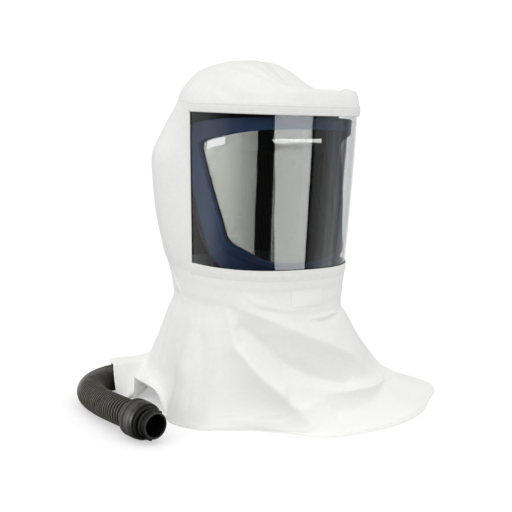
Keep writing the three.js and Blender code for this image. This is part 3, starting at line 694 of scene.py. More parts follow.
def grid_normals(grid, ring):
    """Directions square to a grid of points, on its outer side."""
    if ring:
        across = np.roll(grid, -1, 0) - np.roll(grid, 1, 0)
    else:
        across = np.gradient(grid, axis=0)
    normals = np.cross(np.gradient(grid, axis=1), across)
    length = np.linalg.norm(normals, axis=-1, keepdims=True)
    return normals / np.maximum(length, SHORTEST_NORMAL)


def shell_object(name, grid, thickness, materials, ring=False, inner_material=0, floor=False):
    """A closed sheet under a grid of outer points: columns around the head, rows downwards."""
    normals = grid_normals(grid, ring)
    inner = grid - normals * thickness
    if floor:
        inner[..., 2] = np.maximum(inner[..., 2], 0)
    count, rows = grid.shape[:2]
    index = np.arange(count * rows).reshape(count, rows)
    under = index + count * rows
    if ring:
        index, under = (np.concatenate([part, part[:1]]) for part in (index, under))
    quads = lambda a: np.stack([a[:-1, :-1], a[:-1, 1:], a[1:, 1:], a[1:, :-1]], -1).reshape(-1, 4)
    edge = lambda a, b: np.stack([a[:-1], a[1:], b[1:], b[:-1]], -1)
    faces = [quads(index), quads(under)[:, ::-1], edge(index[:, 0], under[:, 0])]
    faces.append(edge(under[:, -1], index[:, -1]))
    if not ring:
        faces += [edge(under[0], index[0]), edge(index[-1], under[-1])]
    points = placed(np.concatenate([grid.reshape(-1, 3), inner.reshape(-1, 3)]))
    mesh = bpy.data.meshes.new(name)
    mesh.from_pydata(points.tolist(), [], np.concatenate(faces).tolist())
    slots = np.zeros(len(mesh.polygons), int)
    slots[len(faces[0]):len(faces[0]) + len(faces[1])] = inner_material
    return mesh_object(name, mesh, materials, slots)


def mesh_object(name, mesh, materials, slots=None):
    """Turns a mesh into a smooth-shaded piece, with doubled points joined."""
    for material in materials:
        mesh.materials.append(material)
    if slots is not None:
        mesh.polygons.foreach_set("material_index", slots)
    work = bmesh.new()
    work.from_mesh(mesh)
    bmesh.ops.remove_doubles(work, verts=work.verts, dist=JOIN_DISTANCE)
    bmesh.ops.recalc_face_normals(work, faces=work.faces)
    work.to_mesh(mesh)
    work.free()
    mesh.shade_smooth()
    mesh.set_sharp_from_angle(angle=math.radians(SHARP_ANGLE))
    piece = bpy.data.objects.new(name, mesh)
    bpy.context.scene.collection.objects.link(piece)
    return piece


def tucked(grid):
    """Adds a hidden lap below the last row, which goes in behind the next piece."""
    foot = grid[:, -1:]
    share = 1 - TUCK_IN / np.hypot(foot[..., :1], foot[..., 1:2])
    inner = np.concatenate([foot[..., :2] * share, foot[..., 2:]], -1)
    return np.concatenate([grid, inner, inner - np.array([0, 0, TUCK_DEPTH])], 1)


def mark(piece, name, values):
    """Gives each point of a piece a number that its material reads."""
    piece.data.attributes.new(name, "FLOAT", "POINT").data.foreach_set("value", values)


def mark_painted_table_light(piece):
    """Marks cloth near the table for painted light: a paler colour where the white table would shine through
    thin cloth and light the hem.
    """
    heights = np.array([point.co.z for point in piece.data.vertices]) / MM
    slopes = np.abs([point.normal.z for point in piece.data.vertices])
    flat = smoothstep(slopes, *PAINTED_LIGHT_SLOPES)
    lying = LYING_PAINTED_LIGHT * (1 - smoothstep(heights, *PAINTED_LIGHT_HEIGHTS))
    standing = HEM_PAINTED_LIGHT * (1 - smoothstep(heights, *HEM_HEIGHTS))
    mark(piece, "painted_light_and_shade", lerp(standing, lying, flat))


def declare(piece, node):
    """Hangs a piece on the root body and hides the solid that it stands for."""
    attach(piece, "root")
    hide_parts(node)
    return piece


def dress(node, material):
    """Gives its material to a solid that is shown as it is."""
    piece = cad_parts[node]
    piece.data.materials.clear()
    piece.data.materials.append(material)
    return piece


def plain_object(name, points, faces, material):
    """A plain mesh for the stage."""
    mesh = bpy.data.meshes.new(name)
    mesh.from_pydata(points, [], faces)
    mesh.materials.append(material)
    piece = bpy.data.objects.new(name, mesh)
    bpy.context.scene.collection.objects.link(piece)
    return piece


def piece_set(name):
    """A set of pieces that take or leave out a lamp's light, or that mirror the same cards."""
    return bpy.data.collections.get(name) or bpy.data.collections.new(name)


def mirror_cards(piece, name):
    """Lets a clear piece mirror its own cards and none of the lamps."""
    piece_set(name).objects.link(piece)
    clear = piece_set("clear_pieces")
    clear.objects.link(piece)
    clear.collection_objects[-1].light_linking.link_state = "EXCLUDE"


# Materials

def linear(hex_colour):
    """Linear colour of an sRGB hex value such as "eeeeec"."""
    channels = [int(hex_colour[i:i + 2], 16) / 255 for i in (0, 2, 4)]
    return [c / 12.92 if c <= 0.04045 else ((c + 0.055) / 1.055) ** 2.4 for c in channels] + [1.0]


def set_sockets(node, **values):
    """Sets input sockets of a node, with underscores for the spaces in their names."""
    for key, value in values.items():
        node.inputs[key.replace("_", " ")].default_value = value


def add_node(tree, kind, links=(), stops=(), **settings):
    """Adds a node with its properties, sockets, colour stops, and links from outputs of other nodes."""
    node = tree.nodes.new(kind)
    for key, value in settings.items():
        if hasattr(node, key):
            setattr(node, key, value)
        else:
            set_sockets(node, **{key: value})
    for socket, output in links:
        tree.links.new(output, node.inputs[socket])
    if stops:
        elements = node.color_ramp.elements
        for element, (place, colour) in zip(elements, (stops[0], stops[-1])):
            element.position, element.color = place, linear(colour)
        for place, colour in stops[1:-1]:
            elements.new(place).color = linear(colour)
    return node


def new_material(name, **sockets):
    """A material with its node tree, its principled shader with some sockets set, and object coordinates."""
    material = bpy.data.materials.new(name)
    material.use_nodes = True
    tree = material.node_tree
    shader = tree.nodes["Principled BSDF"]
    set_sockets(shader, **sockets)
    place = add_node(tree, "ShaderNodeTexCoord").outputs["Object"]
    return material, tree, shader, place


def per_mm(size):
    """Texture scale for a pattern whose features are size millimetres apart, on metre coordinates."""
    return 1 / (size * MM)


def wear_share(tree, cloud, cloud_share):
    """How pale a moulded piece is: its own marks, which hold wear and painted light and shade, with some clouds
    of wear among them.
    """
    wear_and_painted_light = add_node(tree, "ShaderNodeAttribute", attribute_name="wear_and_painted_light").outputs["Fac"]
    clouds = add_node(tree, "ShaderNodeMapRange", [("Value", cloud)], To_Max=cloud_share)
    share = add_node(
        tree, "ShaderNodeMath", [(0, wear_and_painted_light), (2, clouds.outputs["Result"])], operation="MULTIPLY_ADD")
    share.inputs[1].default_value = 1 - cloud_share
    return share.outputs["Value"]


def spun_cloth(name, colour, shade, painted_colour):
    """Spunbonded polyolefin, white: matt fibres pressed into a thin sheet.

    Marked places get a painted colour: painted light, paler over the white table, and painted shade, greyer on
    the brow band's loose end.
    """
    material, tree, shader, place = new_material(
        name, Roughness=0.82, IOR=1.49, Specular_IOR_Level=0.25, Sheen_Weight=0.08)
    # Clouds in the web are about 6 mm wide. The fibres are 0.02 mm wide, drawn 60 times coarser to show.
    clouds = add_node(tree, "ShaderNodeTexNoise", [("Vector", place)], Scale=per_mm(6), Detail=4.0)
    fibres = add_node(
        tree, "ShaderNodeTexNoise", [("Vector", place)], Scale=per_mm(1.2), Detail=6.0, Roughness=0.7)
    tint = add_node(
        tree, "ShaderNodeValToRGB", [("Fac", clouds.outputs["Fac"])], stops=((0.3, shade), (0.7, colour)))
    # A marked share of painted light and shade replaces the cloth's own colour.
    painted_light_and_shade = add_node(tree, "ShaderNodeAttribute", attribute_name="painted_light_and_shade").outputs["Fac"]
    both = add_node(tree, "ShaderNodeMix", [(0, painted_light_and_shade), (6, tint.outputs["Color"])], data_type="RGBA")
    both.inputs[7].default_value = linear(painted_colour)
    tree.links.new(both.outputs[2], shader.inputs["Base Color"])
    bump = add_node(
        tree, "ShaderNodeBump", [("Height", fibres.outputs["Fac"])], Strength=0.12, Distance=0.0006)
    tree.links.new(bump.outputs["Normal"], shader.inputs["Normal"])
    return material


def clear_sheet(name, ior, tint, roughness):
    """Clear sheet with polished faces: it mirrors a little head on, more at a glance, and hides nothing."""
    material, tree, shader, _ = new_material(name)
    tree.nodes.remove(shader)
    # Both faces of the sheet mirror alike, so light that leaves it meets the same step in the index.
    side = add_node(tree, "ShaderNodeNewGeometry").outputs["Backfacing"]
    index = add_node(tree, "ShaderNodeMapRange", [("Value", side)], To_Min=ior, To_Max=1 / ior)
    share = add_node(tree, "ShaderNodeFresnel", [("IOR", index.outputs["Result"])])
    through = add_node(tree, "ShaderNodeBsdfTransparent", Color=linear(tint))
    mirror = add_node(tree, "ShaderNodeBsdfGlossy", Color=(1, 1, 1, 1), Roughness=roughness)
    both = add_node(tree, "ShaderNodeMixShader", [
        (0, share.outputs["Fac"]), (1, through.outputs["BSDF"]), (2, mirror.outputs["BSDF"]),
    ])
    tree.links.new(both.outputs["Shader"], tree.nodes["Material Output"].inputs["Surface"])
    return material


def moulded_plastic(name, shade, colour, roughness, grain, gloss_spread=0.08):
    """Injection-moulded nylon: a spark-eroded grain scatters the shine, and its marks give wear and painted
    light and shade.
    """
    material, tree, shader, place = new_material(name, IOR=1.53, Specular_IOR_Level=0.1)
    # Clouds of wear are about 25 mm wide. The grain is about 0.1 mm wide, drawn five times coarser to show.
    wear = add_node(tree, "ShaderNodeTexNoise", [("Vector", place)], Scale=per_mm(25), Detail=3.0)
    share = wear_share(tree, wear.outputs["Fac"], 0.2)
    tint = add_node(tree, "ShaderNodeValToRGB", [("Fac", share)], stops=((0, shade), (1, colour)))
    tree.links.new(tint.outputs["Color"], shader.inputs["Base Color"])
    grit = add_node(tree, "ShaderNodeTexNoise", [("Vector", place)], Scale=per_mm(grain), Detail=4.0)
    gloss = add_node(
        tree, "ShaderNodeMapRange", [("Value", grit.outputs["Fac"])],
        To_Min=roughness - gloss_spread, To_Max=roughness + gloss_spread)
    tree.links.new(gloss.outputs["Result"], shader.inputs["Roughness"])
    bump = add_node(tree, "ShaderNodeBump", [("Height", grit.outputs["Fac"])], Strength=0.15, Distance=0.0002)
    tree.links.new(bump.outputs["Normal"], shader.inputs["Normal"])
    return material


def satin_skin(name, groove, skin, dust):
    """Moulded rubber or black nylon: a satin skin, rubbed grey where it stands out, with painted shade in the
    grooves.
    """
    material, tree, shader, place = new_material(name, IOR=1.52)
    # The bloom on the skin is in clouds about 9 mm wide.
    bloom = add_node(
        tree, "ShaderNodeTexNoise", [("Vector", place)], Scale=per_mm(9), Detail=5.0, Roughness=0.65)
    share = wear_share(tree, bloom.outputs["Fac"], 0.3)
    tint = add_node(
        tree, "ShaderNodeValToRGB", [("Fac", share)], stops=((0.15, groove), (0.7, skin), (0.95, dust)))
    tree.links.new(tint.outputs["Color"], shader.inputs["Base Color"])
    gloss = add_node(tree, "ShaderNodeMapRange", [("Value", bloom.outputs["Fac"])], To_Min=0.34, To_Max=0.56)
    tree.links.new(gloss.outputs["Result"], shader.inputs["Roughness"])
    return material


def ribbed_knit(name, colour, shade):
    """Dark elastic knit: fine ribs that drink the light and a soft nap along the edges. On the cloth's inner
    faces it is painted shade for the dim inside of the hood.
    """
    material, tree, shader, place = new_material(name, Roughness=0.95, Sheen_Weight=0.15)
    # The ribs are about 2.2 mm apart, drawn twice as coarse to show: a wave repeats every 0.31 of a unit.
    ribs = add_node(
        tree, "ShaderNodeTexWave", [("Vector", place)], bands_direction="X",
        Scale=per_mm(2.2) / math.tau, Distortion=1.5)
    tint = add_node(
        tree, "ShaderNodeValToRGB", [("Fac", ribs.outputs["Fac"])], stops=((0, shade), (1, colour)))
    tree.links.new(tint.outputs["Color"], shader.inputs["Base Color"])
    bump = add_node(tree, "ShaderNodeBump", [("Height", ribs.outputs["Fac"])], Strength=0.4, Distance=0.0006)
    tree.links.new(bump.outputs["Normal"], shader.inputs["Normal"])
    return material


def bare_film(name, colour):
    """White label film, bare: smooth and a little brighter than the cloth, with a faint sheen."""
    material, tree, shader, place = new_material(name, Base_Color=linear(colour))
    # Streaks of gloss are about 4 mm wide.
    streaks = add_node(tree, "ShaderNodeTexNoise", [("Vector", place)], Scale=per_mm(4), Detail=2.0)
    gloss = add_node(tree, "ShaderNodeMapRange", [("Value", streaks.outputs["Fac"])], To_Min=0.35, To_Max=0.5)
    tree.links.new(gloss.outputs["Result"], shader.inputs["Roughness"])
    return material


# Shapes of the hood

def crown_grid(columns, rows):
    """The crown, in rays from the top of its dome out to its rim."""
    angle, way = pairs(np.linspace(-180, 180, columns, endpoint=False), np.linspace(0, 1, rows))
    rim = around(angle, cloth_reach(angle, RIM_Z), RIM_Z + SEAM_GAP)
    brow = smoothstep(angle, *BROW_START_ANGLES) * (1 - smoothstep(angle, *BROW_END_ANGLES))
    rise = lerp(between(CROWN_RISE, 1, way), between(CROWN_RISE, 2, way), brow)
    x, y = rim[..., 0] * way, lerp(CROWN_MIDDLE_Y, rim[..., 1], way)
    grid = np.stack([x, y, rim[..., 2] + rise * (CROWN_Z - rim[..., 2])], -1)
    # Gathers above the rim, and creases that run from the dome towards the brow.
    gathers = relief(soft_noise, CROWN_GATHERS, angle * GATHER_SCALE[0], way * GATHER_SCALE[1])
    gathers = gathers * np.exp(-((1 - way) / GATHER_REACH) ** 2)
    soft = relief(crumple, CROWN_CRUMPLE, x, y) * smoothstep(way, *CROWN_SMOOTH)
    held = 1 - smoothstep(way, *CROWN_HELD)
    height = (gathers + soft + ridges(CROWN_FOLDS, (1, 1), x, y)) * held
    return tucked(grid + grid_normals(grid, True) * height[..., None])


def back_grid(columns, rows):
    """The sides and the back of the hood, from one window edge round to the other."""
    share, z = pairs(np.linspace(0, 1, columns), np.linspace(RIM_Z, SEAM_Z, rows))
    edge = window_edge(z) + WINDOW_SIDE_GAP
    angle = lerp(edge, 360 - edge, share)
    angle = np.where(angle > 180, angle - 360, angle)
    grid = around(angle, cloth_reach(angle, z), z)
    arc = np.where(angle < 0, angle + 360, angle) * BACK_SCALE[0]
    soft = relief(soft_noise, BACK_HILLS, arc, z * BACK_SCALE[1]) + relief(crumple, BACK_CRUMPLE, arc, z)
    held = smoothstep(z, SEAM_Z, SEAM_Z + BACK_HELD) * (1 - smoothstep(z, RIM_Z - BACK_HELD, RIM_Z))
    held = held * smoothstep(np.minimum(share, 1 - share), 0, BACK_HELD_SHARE)
    return tucked(grid + grid_normals(grid, False) * (soft * held)[..., None])


def strip_grid(columns, heights, edge_at, stand_off):
    """A strip of sheet or cloth across the front, between the two side edges."""
    share, z = pairs(np.linspace(-1, 1, columns), heights)
    angle = share * edge_at(z)
    return around(angle, plan_reach(angle, z) + stand_off, z)


def route_points(count):
    """Evenly spaced places along the hose's route, in metres around the head's axis."""
    knots = np.array(HOSE_ROUTE)
    # Knots are spaced by the square root of their distance, so that the curve doesn't swing out at close ones.
    place = np.concatenate([[0], np.cumsum(np.linalg.norm(np.diff(knots, axis=0), axis=1) ** 0.5)])
    fine = np.linspace(0, place[-1], ROUTE_FINENESS)
    tangents = np.gradient(knots, place, axis=0)
    i = np.clip(np.searchsorted(place, fine), 1, len(place) - 1) - 1
    width = (place[i + 1] - place[i])[:, None]
    t = ((fine - place[i])[:, None]) / width
    curve = (
        knots[i] * (2 * t**3 - 3 * t**2 + 1) + tangents[i] * width * (t**3 - 2 * t**2 + t)
        + knots[i + 1] * (3 * t**2 - 2 * t**3) + tangents[i + 1] * width * (t**3 - t**2)
    )
    run = np.concatenate([[0], np.cumsum(np.linalg.norm(np.diff(curve, axis=0), axis=1))])
    even = np.linspace(0, run[-1], count)
    return np.stack([np.interp(even, run, curve[:, k]) for k in range(3)], -1)


def over_hose(x, y):
    """Height at which cloth that hangs over the lying hose is held up by it."""
    height = np.zeros(x.shape)
    for point in route_points(TENT_POINTS) / MM:
        if point[2] < TENT_TOP_Z:
            fall = np.maximum(0, np.hypot(x - point[0], y - point[1]) - HOSE_RADIUS) * TENT_SLOPE
            height = np.maximum(height, point[2] + HOSE_RADIUS + TENT_CLEAR - fall)
    return height


def free_cape(angle, drop):
    """The cape's outer face before folds, the table and the hose shape it."""
    front = smoothstep(angle, *FRONT_START_ANGLES) * (1 - smoothstep(angle, *FRONT_END_ANGLES))
    z = between(CAPE_FALL, 1, drop)
    out = lerp(between(CAPE_FALL, 2, drop), between(CAPE_FALL, 3, drop), front)
    neck = cloth_reach(angle, np.maximum(z, between(CAPE_FALL, 1, NECK_DROP)))
    reach = neck + (between(HEM, 1, angle) - neck) * out
    swung = angle + between(HEM, 3, angle) * out**2
    return around(swung, reach, z + between(HEM, 2, angle) * out**2)


def cape_grid(angle, drop):
    """The cape's outer face with its folds, held up by the hose and laid on the table."""
    grid = free_cape(angle, drop)
    normals = grid_normals(grid, False)
    held = smoothstep(drop, *CAPE_HELD_TOP) * (1 - smoothstep(drop, *CAPE_HELD_FOOT))
    folds = FOLD_LIFT * folded(CAPE_FOLDS, FOLD_SCALE, angle, drop) * held
    folds = folds + ridges(CAPE_CREASES, FOLD_SCALE, angle, drop)
    arc = np.where(angle < BIB_ANGLES[0], angle + 360, angle) * FOLD_SCALE[0]
    fine = relief(crumple, CAPE_CRUMPLE, arc, drop * FOLD_SCALE[1]) * smoothstep(drop, *CAPE_SMOOTH)
    grid = grid + normals * (folds + fine)[..., None]
    tent = over_hose(grid[..., 0], grid[..., 1])
    z = grid[..., 2]
    lifted = (z + tent + np.hypot(z - tent, TENT_SOFTNESS)) / 2
    z = np.where(tent > 0, lifted, z)
    grid[..., 2] = (z + HEM_CLOTH + np.hypot(z - HEM_CLOTH, TABLE_SOFTNESS)) / 2
    return grid


def cape_panel_grid(start, end, columns, rows):
    """One panel of the cape. Its side seams lean back towards the chin seam."""
    share, drop = pairs(np.linspace(0, 1, columns), np.linspace(0, 1, rows))
    lean = SEAM_LEAN * (1 - smoothstep(drop, 0, NECK_DROP))
    first = start - lean if start < 0 else start + lean
    last = end + lean if end < 180 else end - lean
    angle = lerp(first, last, share)
    grid = cape_grid(np.where(angle > 180, angle - 360, angle), drop)
    # The edge of the hem rolls over towards the table.
    hem = grid[:, -1:]
    lip = hem + HEM_LIP * hem / np.linalg.norm(hem[..., :2], axis=-1, keepdims=True)
    lip[..., 2] = np.where(lip[..., 2] < HEM_LYING_Z, HEM_FOOT_Z, lip[..., 2] - HEM_LIP)
    return np.concatenate([grid, lip], 1)


def shield_point(angle, z, depth):
    """Places on the shield, at a depth behind its front, which comes nearer to the window at the temples."""
    temple = smoothstep(np.abs(angle), *TEMPLE_ANGLES)
    setback = lerp(FRAME_SETBACK, TEMPLE_SETBACK, temple)
    return around(angle, plan_reach(angle, z) - setback - depth, z)


def frame_stations():
    """Rows around the shield's frame, down the wearer's left side and up the other."""
    last = len(FRAME_ROWS) - 1
    place = np.linspace(0, last, last * FRAME_STEPS + 1)
    half = np.stack([between(FRAME_ROWS, column, place) for column in range(1, 6)], -1)
    mirrored = half[1:-1][::-1] * np.array([-1, 1, -1, 1, 1])
    return np.concatenate([half, mirrored])


def frame_point(stations, across, depth):
    """Places all around the frame, at a share of the way across it from its opening to its rim."""
    angle = lerp(stations[:, 0], stations[:, 2], across)
    z = lerp(stations[:, 1], stations[:, 3], across)
    return shield_point(angle, z, depth)


def opening_edges(angle):
    """Upper and lower edge of the shield's opening at an angle."""
    rows = np.array(FRAME_ROWS)[:, 1:3]
    brow, chin = rows[:VISOR_CORNER_ROW], rows[VISOR_CORNER_ROW:][::-1]
    return between(brow, 1, np.abs(angle)), between(chin, 1, np.abs(angle))


def swept_object(name, sections, materials, closed=True):
    """A closed skin over a row or a loop of sections, each a loop of points."""
    count, size = sections.shape[:2]
    index = np.arange(count * size).reshape(count, size)
    index = np.concatenate([index, index[:, :1]], 1)
    if closed:
        index = np.concatenate([index, index[:1]])
    faces = np.stack([index[:-1, :-1], index[1:, :-1], index[1:, 1:], index[:-1, 1:]], -1)
    faces = faces.reshape(-1, 4).tolist()
    if not closed:
        faces += [index[0, :-1].tolist(), index[-1, :-1][::-1].tolist()]
    mesh = bpy.data.meshes.new(name)
    mesh.from_pydata(placed(sections.reshape(-1, 3)).tolist(), [], faces)
    return mesh_object(name, mesh, materials)


# Settings, operators and panel

class HoodSizes(bpy.types.PropertyGroup):
    """Sizes that a user would change."""

    cloth: bpy.props.FloatProperty(
        name="Cloth", description="Thickness of the cloth", default=0.0009, unit="LENGTH")
    window: bpy.props.FloatProperty(
        name="Window", description="Thickness of the window sheet", default=0.0008, unit="LENGTH")
    rib_pitch: bpy.props.FloatProperty(
        name="Rib pitch", description="Distance between the ribs of the hose", default=0.0052, unit="LENGTH")
    rib_depth: bpy.props.FloatProperty(
        name="Rib depth", description="Depth of the grooves between the ribs", default=0.003, unit="LENGTH")


class HoodColours(bpy.types.PropertyGroup):
    """Colours that a user would change, as sRGB hex values."""

    cloth: bpy.props.StringProperty(
        name="Cloth", description="Colour of the hood's cloth", default="eeeeec")
    shield: bpy.props.StringProperty(
        name="Shield", description="Colour of the shield's frame", default="2d415f")
    rubber: bpy.props.StringProperty(
        name="Rubber", description="Colour of the hose", default="272622")


class HOOD_OT_stage(bpy.types.Operator):
    """Adds the camera, the pale floor and soft studio light"""

    bl_idname = "hood.stage"
    bl_label = "Stage"

    def execute(self, context):
        scene = context.scene
        scene.view_settings.view_transform = "Standard"
        camera = bpy.data.objects.new("camera", bpy.data.cameras.new("camera"))
        scene.collection.objects.link(camera)
        scene.camera = camera
        camera.data.sensor_width = SENSOR
        camera.data.sensor_fit = "HORIZONTAL"
        camera.data.lens = CAMERA_FOCAL * SENSOR
        camera.data.clip_start = CLIP_START
        eye = around(CAMERA_TURN, CAMERA_DISTANCE, CAMERA_Z)
        flat = around(CAMERA_TURN + CAMERA_YAW, 1.0, 0.0)
        pitch = math.radians(CAMERA_PITCH)
        forward = Vector(-flat * math.cos(pitch) - np.array([0, 0, math.sin(pitch)]))
        right = forward.cross(Vector((0, 0, 1))).normalized()
        up = right.cross(forward)
        turned = Matrix.Rotation(math.radians(-CAMERA_ROLL), 3, forward)
        axes = Matrix((turned @ right, turned @ up, -forward)).transposed().to_4x4()
        camera.matrix_world = Matrix.Translation(Vector(placed(eye))) @ axes
        self.add_floor()
        self.add_light(scene)
        self.add_cards()
        return {"FINISHED"}

    def add_floor(self):
        """A wide white table, brighter to the eye than the light that it gives back."""
        material, tree, shader, _ = new_material(
            "white_table_laminate", Base_Color=linear("cccccc"), Roughness=0.9, Specular_IOR_Level=0.0,
            Emission_Color=(FLOOR_GLOW, FLOOR_GLOW, FLOOR_GLOW, 1))
        path = add_node(tree, "ShaderNodeLightPath")
        tree.links.new(path.outputs["Is Camera Ray"], shader.inputs["Emission Strength"])
        corners = [(x * FLOOR_REACH, y * FLOOR_REACH, FLOOR_Z) for x, y in ((-1, -1), (1, -1), (1, 1), (-1, 1))]
        floor = plain_object("floor", corners, [(0, 1, 2, 3)], material)
        floor.visible_glossy = False
        floor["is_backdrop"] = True

    def add_light(self, scene):
        """White surroundings that the camera sees as white, soft light from above and large lamps."""
        world = bpy.data.worlds.new("white_studio")
        scene.world = world
        world.use_nodes = True
        tree = world.node_tree
        path = add_node(tree, "ShaderNodeLightPath")
        strength = add_node(
            tree, "ShaderNodeMapRange", [("Value", path.outputs["Is Camera Ray"])],
            To_Min=WORLD_LIGHT, To_Max=BACKDROP_LIGHT)
        tree.links.new(strength.outputs["Result"], tree.nodes["Background"].inputs["Strength"])
        set_sockets(tree.nodes["Background"], Color=(1, 1, 1, 1))
        world.cycles_visibility.glossy = False
        sky = bpy.data.objects.new("sky_light", bpy.data.lights.new("sky_light", "SUN"))
        sky.data.energy, sky.data.angle = SKY_STRENGTH, math.radians(SKY_WIDTH)
        sky.rotation_euler = Vector(SKY_FROM).to_track_quat("Z", "Y").to_euler()
        sky.light_linking.receiver_collection = piece_set("clear_pieces")
        scene.collection.objects.link(sky)
        for name, place, width, height, power, receivers in LAMPS:
            lamp = bpy.data.objects.new(name, bpy.data.lights.new(name, "AREA"))
            lamp.data.shape = "RECTANGLE"
            lamp.data.size, lamp.data.size_y, lamp.data.energy = width, height, power
            lamp.location = placed(place)
            beam = Vector(np.array(LAMP_TARGET) - np.array(place))
            lamp.rotation_euler = beam.to_track_quat("-Z", "Y").to_euler()
            lamp.visible_camera = False
            lamp.light_linking.receiver_collection = piece_set(receivers)
            # The hood would keep this lamp's light from the shield, so only the shield itself blocks it.
            if receivers == "shield_pieces":
                lamp.light_linking.blocker_collection = piece_set(receivers)
            scene.collection.objects.link(lamp)

    def add_cards(self):
        """Bright cards around the hood that only its clear sheets mirror."""
        for name, mirror, tint, top, foot, columns in CARDS:
            material, tree, shader, _ = new_material(f"{name}_lit")
            tree.nodes.remove(shader)
            glow = add_node(tree, "ShaderNodeAttribute", attribute_name="glow")
            light = add_node(
                tree, "ShaderNodeEmission", [("Strength", glow.outputs["Fac"])], Color=linear(tint))
            through = add_node(tree, "ShaderNodeBsdfTransparent")
            both = add_node(tree, "ShaderNodeAddShader", [
                (0, light.outputs["Emission"]), (1, through.outputs["BSDF"]),
            ])
            tree.links.new(both.outputs["Shader"], tree.nodes["Material Output"].inputs["Surface"])
            columns = np.array(columns, float)
            height = CARD_MIDDLE_Z + CARD_DISTANCE * np.tan(np.radians([top, foot]))
            points = around(columns[:, :2], CARD_DISTANCE, height).reshape(-1, 3)
            faces = [(k, k + 1, k + 3, k + 2) for k in range(0, len(points) - 2, 2)]
            card = plain_object(name, placed(points).tolist(), faces, material)
            mark(card, "glow", columns[:, 2:].ravel())
            card.visible_camera = card.visible_diffuse = card.visible_shadow = False
            card.light_linking.receiver_collection = piece_set(mirror)
            card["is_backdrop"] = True


class HOOD_OT_hose(bpy.types.Operator):
    """Adds the corrugated breathing hose, its cuff and its bayonet spigot"""

    bl_idname = "hood.hose"
    bl_label = "Breathing hose"

    def execute(self, context):
        sizes, colours = context.scene.hood_sizes, context.scene.hood_colours
        rubber = satin_skin("hose_rubber_moulded", "040404", colours.rubber, "6a685f")
        path = route_points(int(HOSE_LENGTH / sizes.rib_pitch) * RIB_STEPS)
        swell = smoothstep(np.cos(np.arange(len(path)) / RIB_STEPS * 2 * math.pi), *RIB_SWELL)
        radius = HOSE_RADIUS * MM - sizes.rib_depth * (1 - swell)
        tangent = np.gradient(path, axis=0)
        tangent /= np.linalg.norm(tangent, axis=1, keepdims=True)
        turn = np.linspace(0, 2 * math.pi, HOSE_SIDES, endpoint=False)[:, None]
        normal = np.array([1.0, 0, 0])
        rings = []
        for point, along, size in zip(path, tangent, radius):
            normal = normal - along * (normal @ along)
            normal /= np.linalg.norm(normal)
            rings.append(point + size * (np.cos(turn) * normal + np.sin(turn) * np.cross(along, normal)))
        hose = swept_object("breathing_hose_ribbed", np.array(rings) / MM, [rubber], closed=False)
        # Rib tops are rubbed paler, and the grooves between them get painted shade.
        mark(hose, "wear_and_painted_light", np.repeat(swell, HOSE_SIDES))
        declare(hose, "breathing_hose")
        cuff_rubber = satin_skin("cuff_rubber_moulded", "0b0a09", "2b2a28", "4a4946")
        cuff = turned_object("hose_cuff_moulded", CUFF_ROWS, GAP, cuff_rubber)
        declare(cuff, "hose_cuff")
        for piece in (hose, cuff):
            piece_set("hose_pieces").objects.link(piece)
        nylon = satin_skin("spigot_nylon_moulded", "070707", "232322", "555550")
        spigot = turned_object("hose_spigot_moulded", SPIGOT_ROWS, CUFF_LENGTH + 2 * GAP, nylon)
        declare(spigot, "hose_spigot")
        return {"FINISHED"}


def turned_object(name, rows, start, material):
    """A fitting turned about the hose's axis, with two opposite lugs where its rows say so."""
    rows = np.array(rows, float)
    axis, side = around(CUFF_TURN, 1.0, 0.0), around(CUFF_TURN + 90, 1.0, 0.0)
    up = np.array([0, 0, 1.0])
    turn = np.linspace(0, 360, FITTING_SIDES, endpoint=False)[:, None]
    from_lug = np.abs((turn - LUG_TURN + 90) % 180 - 90)
    radius = rows[:, 1] + rows[:, 3] * LUG_HEIGHT * (from_lug < LUG_HALF_TURN)
    out = np.cos(np.radians(turn))[..., None] * side + np.sin(np.radians(turn))[..., None] * up
    middle = np.array(HOSE_ROUTE[-1]) / MM + (start + rows[:, :1]) * axis
    piece = swept_object(name, middle + radius[..., None] * out, [material])
    # Each row's paleness is wear where high and painted shade where low, in grooves and bores.
    mark(piece, "wear_and_painted_light", np.tile(rows[:, 2], FITTING_SIDES))
    return piece


class HOOD_OT_cloth(bpy.types.Operator):
    """Adds the cloth panels of the hood: crown, back, bib and cape"""

    bl_idname = "hood.cloth"
    bl_label = "Cloth panels"

    def execute(self, context):
        thickness = context.scene.hood_sizes.cloth / MM
        # The last colour is painted light, for cloth near the white table.
        cloth = spun_cloth("spunbonded_cloth_white", context.scene.hood_colours.cloth, "ebebe9", "fbfbfa")
        # The inner faces of the crown and back are painted shade: a dark knit where the white cloth lies in
        # shade.
        inside_painted_shade = ribbed_knit("inner_face_knit_painted_shade", "232422", "151614")
        crown = shell_object(
            "crown_cloth", crown_grid(*CROWN_MESH), thickness, [cloth, inside_painted_shade], ring=True, inner_material=1)
        back = shell_object(
            "back_cloth", back_grid(*BACK_MESH), thickness, [cloth, inside_painted_shade], inner_material=1)
        bib = shell_object(
            "bib_cloth", cape_panel_grid(*BIB_ANGLES, *BIB_MESH), thickness, [cloth], floor=True)
        cape_ends = (BIB_ANGLES[1], BIB_ANGLES[0] + 360)
        cape = shell_object(
            "cape_cloth", cape_panel_grid(*cape_ends, *CAPE_MESH), thickness, [cloth], floor=True)
        declare(crown, "crown_panel")
        declare(back, "back_panel")
        declare(bib, "front_bib")
        declare(cape, "back_cape")
        # Cloth near the table gets painted light, a paler colour.
        for panel in (bib, cape):
            mark_painted_table_light(panel)
            piece_set("cape_pieces").objects.link(panel)
        return {"FINISHED"}


